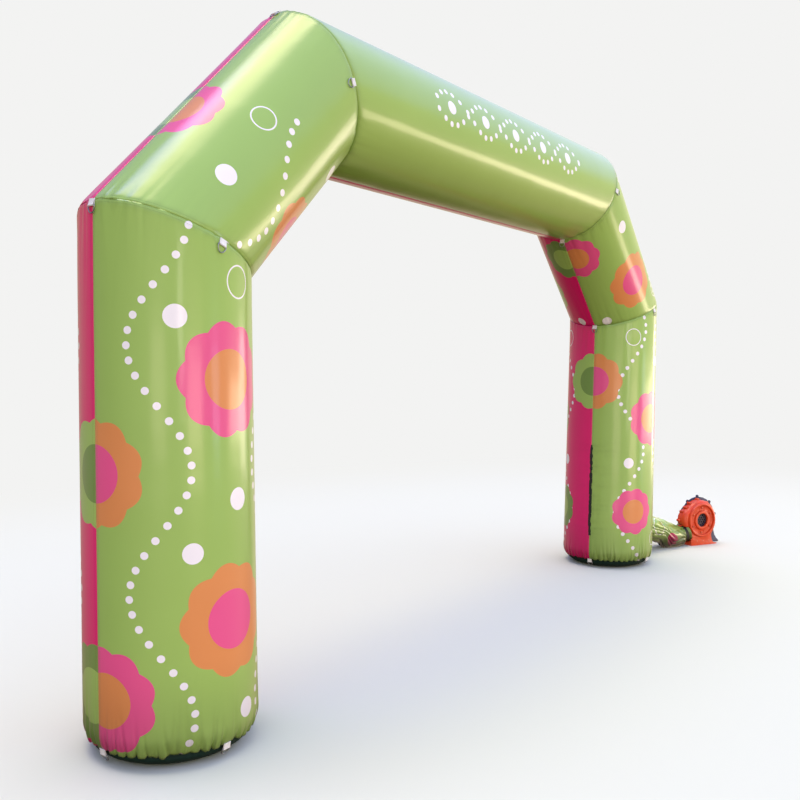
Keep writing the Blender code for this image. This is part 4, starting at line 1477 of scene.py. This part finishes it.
# ============================================================================ blower
@dataclass
class BlowerPlace:
    """Where the blower stands; in its own frame the inlet faces -Y and the outlet -X."""

    lines: ArchLines
    from_middle: Vector = field(default_factory=lambda: Vector((3.70, -0.37, 0.0)))
    turn: float = math.radians(-28.0)
    hub: float = 0.25
    front: float = -0.080
    outlet_from: Vector = field(default_factory=lambda: Vector((-0.060, 0.007, 0.158)))
    outlet_dip: float = math.radians(20.0)

    def matrix(self) -> Matrix:
        """From the blower's own frame to the object's."""
        return Matrix.Translation(self.lines.middle + self.from_middle) \
            @ Matrix.Rotation(self.turn, 4, "Z")

    def outlet(self, distance: float) -> Vector:
        """A point on the outlet's axis, in the object's frame."""
        dip = self.outlet_dip
        local = self.outlet_from + Vector((-math.cos(dip), 0, -math.sin(dip))) * distance
        return self.matrix() @ local

    def facing(self, across: float, up: float, depth: float) -> Matrix:
        """Place of a turned fitting whose axis points out of the inlet's side."""
        return self.matrix() @ Matrix.Translation((across, depth, up)) \
            @ Matrix.Rotation(math.pi / 2, 4, "X")


@dataclass
class Blower:
    """Snail blower: two moulded halves screwed together, an inlet plate, a guard and a motor.

    A lug's or boss's spot is its angle in degrees and its distance from the hub.
    """

    place: BlowerPlace
    edge: float = 0.0022
    channel: float = 0.0030
    lug_r: float = 0.013
    bosses: Pairs = tuple((30.0 + 60.0 * i, 0.121) for i in range(6))
    lugs: Pairs = (
        (196.0, 0.214), (180.0, 0.224), (156.0, 0.207), (140.0, 0.190), (121.0, 0.190),
        (88.0, 0.193), (52.0, 0.199), (16.0, 0.206), (-18.0, 0.212))
    rear_lugs: Pairs = ((39.5, 0.246), (7.0, 0.264), (82.0, 0.221), (118.0, 0.200))
    rear_face: float = 0.0110
    lug_top: float = 0.0270
    boss_top: float = 0.0070
    skirt_screws: tuple[float, ...] = (-0.045, 0.030, 0.105)
    skirt_at: tuple[float, float] = (0.042, -0.0780)
    ribs: int = 12
    rib_size: tuple[float, float, float] = (0.040, 0.0030, 0.0046)
    rib_at: tuple[float, float] = (0.1190, 0.0044)
    rib_edge: float = 0.0006
    boss_sink: float = 0.0004
    gland_y: float = 0.111
    gland_turn: float = math.radians(-25.0)

    def build(self, frame: dict, orange: Moulding, dark: Moulding, steel: Metal) -> list[Object]:
        """Make the blower's pieces.

        Args:
            frame: What the frame's loader returned.
            orange: Finish of the front moulding and the inlet plate.
            dark: Finish of the rear moulding and the motor.
            steel: Finish of the screws.

        Returns:
            The pieces.
        """
        nodes = frame["nodes"]
        orange_mat, dark_mat = orange.material(), dark.material()
        return [
            frame_piece("drum_shell", nodes["blower_drum"], orange_mat,
                        self.edge),
            frame_piece("rear_shell", nodes["blower_rear"], dark_mat, self.edge),
            self._plate(orange_mat),
            finish_piece("drum_lugs", joined(self._lugs()), orange_mat, []),
            finish_piece("rear_lugs", joined(self._back_lugs()), dark_mat, []),
            finish_piece("blower_screws", joined(self._screws()), steel.material(),
                         []),
            self._motor(dark_mat),
        ]

    def _facing(self, spots: Pairs, depth: float) -> list[Matrix]:
        """Places of fittings at spots round the hub, at a depth behind the drum's rear rim."""
        return [self.place.facing(reach * math.cos(math.radians(degrees)),
                                  self.place.hub + reach * math.sin(math.radians(degrees)), depth)
                for degrees, reach in spots]

    def _plate(self, mat: Material) -> Object:
        """Round inlet plate: a lip, a channel with six screw bosses and a raised rim."""
        back = 0.0003
        profile = [(0.0660, back), (0.0660, 0.0165), (0.0675, 0.0192), (0.0705, 0.0200),
                   (0.0880, 0.0200), (0.0915, 0.0180), (0.0960, 0.0040), (0.0985, 0.0030),
                   (0.1400, 0.0030), (0.1425, 0.0042), (0.1462, 0.0200), (0.1490, 0.0220),
                   (0.1560, 0.0220), (0.1610, 0.0198), (0.1640, 0.0140), (0.1650, 0.0080),
                   (0.1650, back), (0.0660, back)]
        boss = ((0.0, 0.0), (0.0135, 0.0), (0.0125, 0.0075), (0.0110, 0.0088),
                (0.0080, 0.0088), (0.0075, 0.0074), (0.0, 0.0074))
        at = self.place.facing(0, self.place.hub, self.place.front)
        parts = [turned(profile, 96, at)]
        parts += [turned(boss, 24, spot) for spot
                  in self._facing(self.bosses,
                                  self.place.front - self.channel + self.boss_sink)]
        parts += [self._rib(at @ Matrix.Rotation(math.radians(15 + 360 / self.ribs * i), 4, "Z"))
                  for i in range(self.ribs)]
        return finish_piece("inlet_plate", joined(parts), mat,
                            ["blower_inlet_plate"], smooth_deg=40.0)

    def _rib(self, place: Matrix) -> BMesh:
        """One low rib across the plate's channel."""
        bm = bmesh.new()
        bmesh.ops.create_cube(bm, size=1.0)
        bmesh.ops.scale(bm, verts=bm.verts, vec=self.rib_size)
        bmesh.ops.bevel(bm, geom=list(bm.edges), offset=self.rib_edge, segments=1, profile=0.5,
                        affect="EDGES", material=-1)
        out, lift = self.rib_at
        bm.transform(place @ Matrix.Translation((out, 0, lift)))
        return bm

    def _lugs(self) -> list[BMesh]:
        """Screw lugs round the front moulding's rear rim."""
        r = self.lug_r
        profile = ((0.0, -0.0085), (r, -0.0085), (r, 0.030), (r - 0.0015, 0.0325),
                   (0.0075, 0.0325), (0.0070, self.lug_top), (0.0, self.lug_top))
        return [turned(profile, 20, place) for place in self._facing(self.lugs, 0.0)]

    def _back_lugs(self) -> list[BMesh]:
        """Screw lugs of the dark rear moulding."""
        profile = ((0.0, -0.010), (0.0155, -0.010), (0.0155, 0.0), (0.0140, 0.0016),
                   (0.0070, 0.0016), (0.0065, -0.0010), (0.0, -0.0010))
        return [turned(profile, 20, place)
                for place in self._facing(self.rear_lugs, self.rear_face)]

    def _screws(self) -> list[BMesh]:
        """Pan-head screws in the plate's bosses, the lugs and the skirt."""
        head = ((0.0, 0.0), (0.0062, 0.0), (0.0062, 0.0012), (0.0050, 0.0028), (0.0022, 0.0032),
                (0.0018, 0.0016), (0.0, 0.0016))
        places = self._facing(self.bosses, self.place.front - self.channel - self.boss_top)
        places += self._facing(self.lugs, -self.lug_top)
        places += [self.place.facing(across, *self.skirt_at) for across in self.skirt_screws]
        return [turned(head, 16, place) for place in places]

    def _motor(self, mat: Material) -> Object:
        """Motor housing with cooling fins, on the back of the bowl."""
        seat, back, r, edge = 0.0963, 0.128, 0.084, 0.012
        fins, root, collar, slope = 5, r - 0.004, 0.002, 0.0008
        profile = [(0.0, seat), (root, seat)]
        span = (back - edge - seat - collar) / fins
        for i in range(fins):
            low = seat + collar + span * i
            profile += [(root, low), (r, low + slope), (r, low + span * 0.5),
                        (root, low + span * 0.5 + slope)]
        profile += [(r, back - edge), (r - 0.0035, back - edge * 0.3), (r - edge, back),
                    (0.030, back), (0.0285, back - 0.0015), (0.0, back - 0.0015)]
        flipped = [(radius, -depth) for radius, depth in profile]
        housing = turned(flipped, 72, self.place.facing(0, self.place.hub, 0.0))
        return finish_piece("motor_housing", joined([housing, self._gland()]), mat,
                            ["blower_motor"], smooth_deg=40.0)

    def _gland(self) -> BMesh:
        """Cable gland on the motor housing's rim: a nut, a domed cap and its open mouth."""
        profile = [(0.0, 0.066), (0.0125, 0.066), (0.0125, 0.0900), (0.0115, 0.0910),
                   (0.0092, 0.0914), (0.0090, 0.0950), (0.0082, 0.0990), (0.0070, 0.1000),
                   (0.0045, 0.1000), (0.0040, 0.0990), (0.0040, 0.0900), (0.0, 0.0900)]
        place = self.place.matrix() @ Matrix.Translation((0, self.gland_y, self.place.hub)) \
            @ Matrix.Rotation(math.pi / 2 - self.gland_turn, 4, "Y")
        return turned(profile, 24, place)


# ============================================================================ studio
@dataclass(frozen=True)
class GlowPanel:
    """Soft panel of light, or below zero a dark flag that takes it away.

    Low and high are heights of its direction, from -1 to 1.
    """

    turn_deg: float
    half_deg: float
    low: float
    high: float
    colour: Colour


@dataclass(frozen=True)
class Overhead:
    """Round soft light in a direction: full out to its core, and gone at its edge."""

    way: Colour
    core: float
    edge: float
    colour: Colour


@dataclass(frozen=True)
class LightCard:
    """Soft-edged card of light that stands on the floor, seen only in gloss and as fill."""

    start: tuple[float, float]
    end: tuple[float, float]
    top: float
    colour: Colour


@dataclass
class Studio:
    """Pale floor, graded soft sky with panels of light, and the camera."""

    lines: ArchLines
    eye: Vector = field(default_factory=lambda: Vector((-4.993, -3.235, 1.711)))
    yaw: float = math.radians(53.31)
    pitch: float = math.radians(-2.77)
    roll: float = math.radians(0.50)
    lens: float = 39.57
    shift_x: float = -0.0062
    shift_y: float = 0.0144
    shade_turn: float = math.radians(105.0)
    shade_core: float = math.radians(40.0)
    shade_edge: float = math.radians(104.0)
    shade_keep: float = 0.42
    overheads: tuple[Overhead, ...] = (
        Overhead((-0.02, 0.14, 0.99), 0.08, 0.41, (8.2, 7.1, 4.2)),
        Overhead((-0.14, 0.355, 0.924), 0.08, 0.24, (1.3, 1.2, 5.0)),
    )
    fade_from: float = 2.6
    fade_to: float = 8.0
    fade_stretch: Colour = (0.62, 1.0, 0.0)
    floor_size: float = 60.0
    grades: tuple[tuple[float, Colour], ...] = (
        (-1.0, (0.20, 0.15, 0.15)),
        (-0.60, (0.40, 0.28, 0.24)),
        (-0.34, (0.95, 0.68, 0.44)),
        (-0.10, (1.25, 1.05, 0.80)),
        (0.02, (1.25, 1.14, 0.80)),
        (0.24, (1.25, 1.18, 0.70)),
        (0.38, (1.16, 1.26, 1.72)),
        (0.60, (0.92, 1.01, 1.80)),
        (1.0, (1.10, 1.26, 1.80)),
    )
    panels: tuple[GlowPanel, ...] = (
        GlowPanel(-140.0, 14.0, -0.13, 0.08, (3.6, 2.8, 2.2)),
        GlowPanel(-111.0, 5.0, -0.05, 0.15, (6.0, 5.2, 4.4)),
        GlowPanel(-94.0, 15.0, -0.13, 0.06, (7.0, 5.2, 3.8)),
        GlowPanel(-64.0, 8.0, -0.11, 0.06, (2.2, 2.8, 3.8)),
        GlowPanel(-12.0, 10.0, -0.12, 0.08, (6.4, 5.2, 4.2)),
        GlowPanel(34.0, 28.0, -0.70, -0.28, (-0.55, -0.40, -0.28)),
        GlowPanel(-2.0, 24.0, -0.34, -0.10, (-0.60, -0.48, -0.34)),
    )
    panel_cores: tuple[float, float] = (0.35, 0.50)
    card: LightCard = LightCard((5.6, -9.1), (14.5, -4.5), 2.1, (8.5, 6.9, 4.8))
    card_cores: tuple[float, float] = (0.45, 0.30)

    def build(self) -> None:
        """Set the stage."""
        self._camera()
        self._sky()
        self._floor()
        self._light_card()
        bpy.context.scene.view_settings.view_transform = "Standard"

    def _camera(self) -> None:
        """Camera at a standing person's eye height, front left of the arch."""
        ahead = Vector((math.sin(self.yaw) * math.cos(self.pitch),
                        math.cos(self.yaw) * math.cos(self.pitch), math.sin(self.pitch)))
        right = Vector((math.cos(self.yaw), -math.sin(self.yaw), 0.0))
        above = right.cross(ahead)
        right, above = (right * math.cos(self.roll) + above * math.sin(self.roll),
                        above * math.cos(self.roll) - right * math.sin(self.roll))
        camera = bpy.data.cameras.new("camera")
        camera.lens = self.lens
        camera.sensor_width = 36.0
        camera.shift_x, camera.shift_y = self.shift_x, self.shift_y
        obj = bpy.data.objects.new("camera", camera)
        turn = Matrix((right, above, -ahead)).transposed().to_4x4()
        obj.matrix_world = Matrix.Translation(self.eye + self.lines.middle) @ turn
        bpy.context.scene.collection.objects.link(obj)
        bpy.context.scene.camera = obj

    def _sky(self) -> None:
        """Soft light graded from a dim, warm ground to a bright, slightly blue sky.

        Soft panels of light and dark flags stand near the horizon, and two round lights hang
        overhead. The plain pale backdrop behind the object shows to the camera alone.
        """
        world = bpy.data.worlds.new("soft_sky")
        bpy.context.scene.world = world
        world.use_nodes = True
        tree = world.node_tree
        way = add_node(tree, "TexCoord", out="Generated")
        across, along, height = add_node(tree, "SeparateXYZ", (way,)).node.outputs
        turn = add_node(tree, "Math", (along, across), operation="ARCTAN2")
        shade = soft_band(tree, turn, self.shade_turn, self.shade_core, self.shade_edge,
                          (self.shade_keep, 1.0), angle=True)
        light = add_node(tree, "VectorMath", {0: self._graded(tree, height), 3: shade},
                         operation="SCALE")
        glows = []
        for panel in self.panels:
            half, tall = math.radians(panel.half_deg), (panel.high - panel.low) / 2
            aside = soft_band(tree, turn, math.radians(panel.turn_deg),
                              half * self.panel_cores[0], half, angle=True)
            upright = soft_band(tree, height, (panel.low + panel.high) / 2,
                                tall * self.panel_cores[1], tall)
            mask = add_node(tree, "Math", (aside, upright), operation="MULTIPLY")
            glows.append((mask, panel.colour))
        for lamp in self.overheads:
            off = add_node(tree, "VectorMath", (way, lamp.way), "Value", operation="DISTANCE")
            glows.append((soft_band(tree, off, 0.0, lamp.core, lamp.edge), lamp.colour))
        for mask, colour in glows:
            extra = add_node(tree, "VectorMath", {0: colour, 3: mask}, operation="SCALE")
            light = add_node(tree, "VectorMath", (light, extra), operation="ADD")
        seen = add_node(tree, "LightPath", out="Is Camera Ray")
        shown = add_node(tree, "Mix", {0: seen, 6: light, 7: hex_to_linear(Ink.BACKDROP.value)},
                         2, data_type="RGBA")
        feed(tree, tree.nodes["Background"], {"Color": shown, "Strength": 1.0})

    def _graded(self, tree: NodeTree, height: NodeSocket) -> NodeSocket:
        """Light by height, from straight down at -1 to straight up at 1."""
        share = add_node(tree, "MapRange", (height, -1.0, 1.0))
        ramp = add_node(tree, "ValToRGB", (share,), "Color")
        elements = ramp.node.color_ramp.elements
        while len(elements) < len(self.grades):
            elements.new(0.5)
        for element, (level, colour) in zip(elements, self.grades):
            element.position = (level + 1) / 2
            element.color = colour + (1.0,)
        return ramp

    def _light_card(self) -> None:
        """Card of light, brightest along its middle and clear at its edges."""
        start, end = (Vector((*way, 0.0)) + self.lines.middle
                      for way in (self.card.start, self.card.end))
        rise = UP * self.card.top
        bm = bmesh.new()
        bmesh.ops.contextual_create(bm, geom=[bm.verts.new(at) for at in
                                              (start, end, end + rise, start + rise)])
        mat, tree, shader = new_material("soft_light_card")
        place = add_node(tree, "TexCoord", out="Object")
        off = add_node(tree, "VectorMath", (place, (start + end) / 2), operation="SUBTRACT")
        aside = add_node(tree, "VectorMath", (off, (end - start).normalized()), "Value",
                         operation="DOT_PRODUCT")
        height = add_node(tree, "SeparateXYZ", (off,), "Z")
        half, tall = (end - start).length / 2, self.card.top / 2
        across = soft_band(tree, aside, 0.0, half * self.card_cores[0], half)
        upright = soft_band(tree, height, tall, tall * self.card_cores[1], tall)
        mask = add_node(tree, "Math", (across, upright), operation="MULTIPLY")
        glow = add_node(tree, "Emission", {"Color": self.card.colour + (1.0,), "Strength": mask})
        both = add_node(tree, "AddShader", (glow, add_node(tree, "BsdfTransparent")))
        feed(tree, tree.nodes["Material Output"], {"Surface": both})
        tree.nodes.remove(shader)
        card = add_mesh("light_card", bm, mat)
        card.visible_camera = False
        card.visible_shadow = False

    def _floor(self) -> None:
        """Plain pale floor that fades into the backdrop away from the arch."""
        bm = bmesh.new()
        bmesh.ops.create_grid(bm, x_segments=1, y_segments=1, size=self.floor_size)
        mat, tree, shader = new_material("pale_floor")
        place = add_node(tree, "TexCoord", out="Object")
        off = add_node(tree, "VectorMath", (place, self.lines.middle), operation="SUBTRACT")
        off = add_node(tree, "VectorMath", (off, self.fade_stretch), operation="MULTIPLY")
        far = add_node(tree, "VectorMath", (off,), "Value", operation="LENGTH")
        fade = add_node(tree, "MapRange", (far, self.fade_from, self.fade_to),
                        interpolation_type="SMOOTHSTEP")
        near = add_node(tree, "Mix", {0: fade, 6: hex_to_linear(Ink.FLOOR.value),
                                      7: (0.0, 0.0, 0.0, 1.0)}, 2, data_type="RGBA")
        feed(tree, shader, {"Base Color": near, "Roughness": 0.9, "Specular IOR Level": 0.0,
                            "Emission Color": hex_to_linear(Ink.BACKDROP.value),
                            "Emission Strength": fade})
        floor = add_mesh("floor", bm, mat)
        floor.visible_glossy = False
        floor.visible_diffuse = False


# ============================================================================ dressing the frame
def dress(frame: dict, names: Iterable[str], mat: Material) -> None:
    """Give frame nodes that keep their shape a finish.

    Args:
        frame: What the frame's loader returned.
        names: The nodes.
        mat: Their finish.
    """
    for name in names:
        mesh = frame["nodes"][name].data
        mesh.materials.clear()
        mesh.materials.append(mat)


def main() -> None:
    """Load the frame, build each sub-assembly and set the stage."""
    logging.basicConfig(level=logging.INFO, format="%(name)s: %(message)s")
    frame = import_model()
    lines = ArchLines()
    Studio(lines).build()
    PrintedPanels(lines).build()
    BaseCaps(lines).build(PlainCloth("coated_base_cloth", Ink.BASE_BLACK, 0.7, 3.0, 0.0003,
                                     specular=0.15))
    Tethers(lines).build(StitchedTape("white_nylon_webbing", Ink.WEB_WHITE, 0.7, 2.4, 0.0004),
                         Metal("bent_steel_wire", Ink.STEEL, 0.32))
    Zip(lines).build(StitchedTape("black_zip_tape", Ink.WEB_BLACK, 0.6, 1.6, 0.0003, 0.011))
    place = BlowerPlace(lines)
    # The sleeve's print carries painted shade, much darker towards the ground.
    AirSleeve(lines, place).build(PrintedCloth(
        "coated_print_sleeve", stamps=SLEEVE_PRINT, ripple_mm=60.0, ripple_depth=0.003,
        ground_shade_height=0.30, ground_shade_keep=0.10, coat=0.80, coat_roughness=0.14, stitched=False))
    Blower(place).build(frame, Moulding("moulded_orange_shell", Ink.BLOWER_ORANGE, 0.36),
                        Moulding("moulded_dark_shell", Ink.BLOWER_DARK, 0.5),
                        Metal("zinc_screws", Ink.SCREW, 0.35))
    dress(frame, ["sleeve_strap"], PlainCloth("black_strap", Ink.WEB_BLACK, 0.6, 2.0,
                                              0.0003).material())
    dress(frame, ["blower_inlet_guard"], Moulding("painted_steel_guard", Ink.GUARD, 0.4).material())


if __name__ == "__main__":
    main()
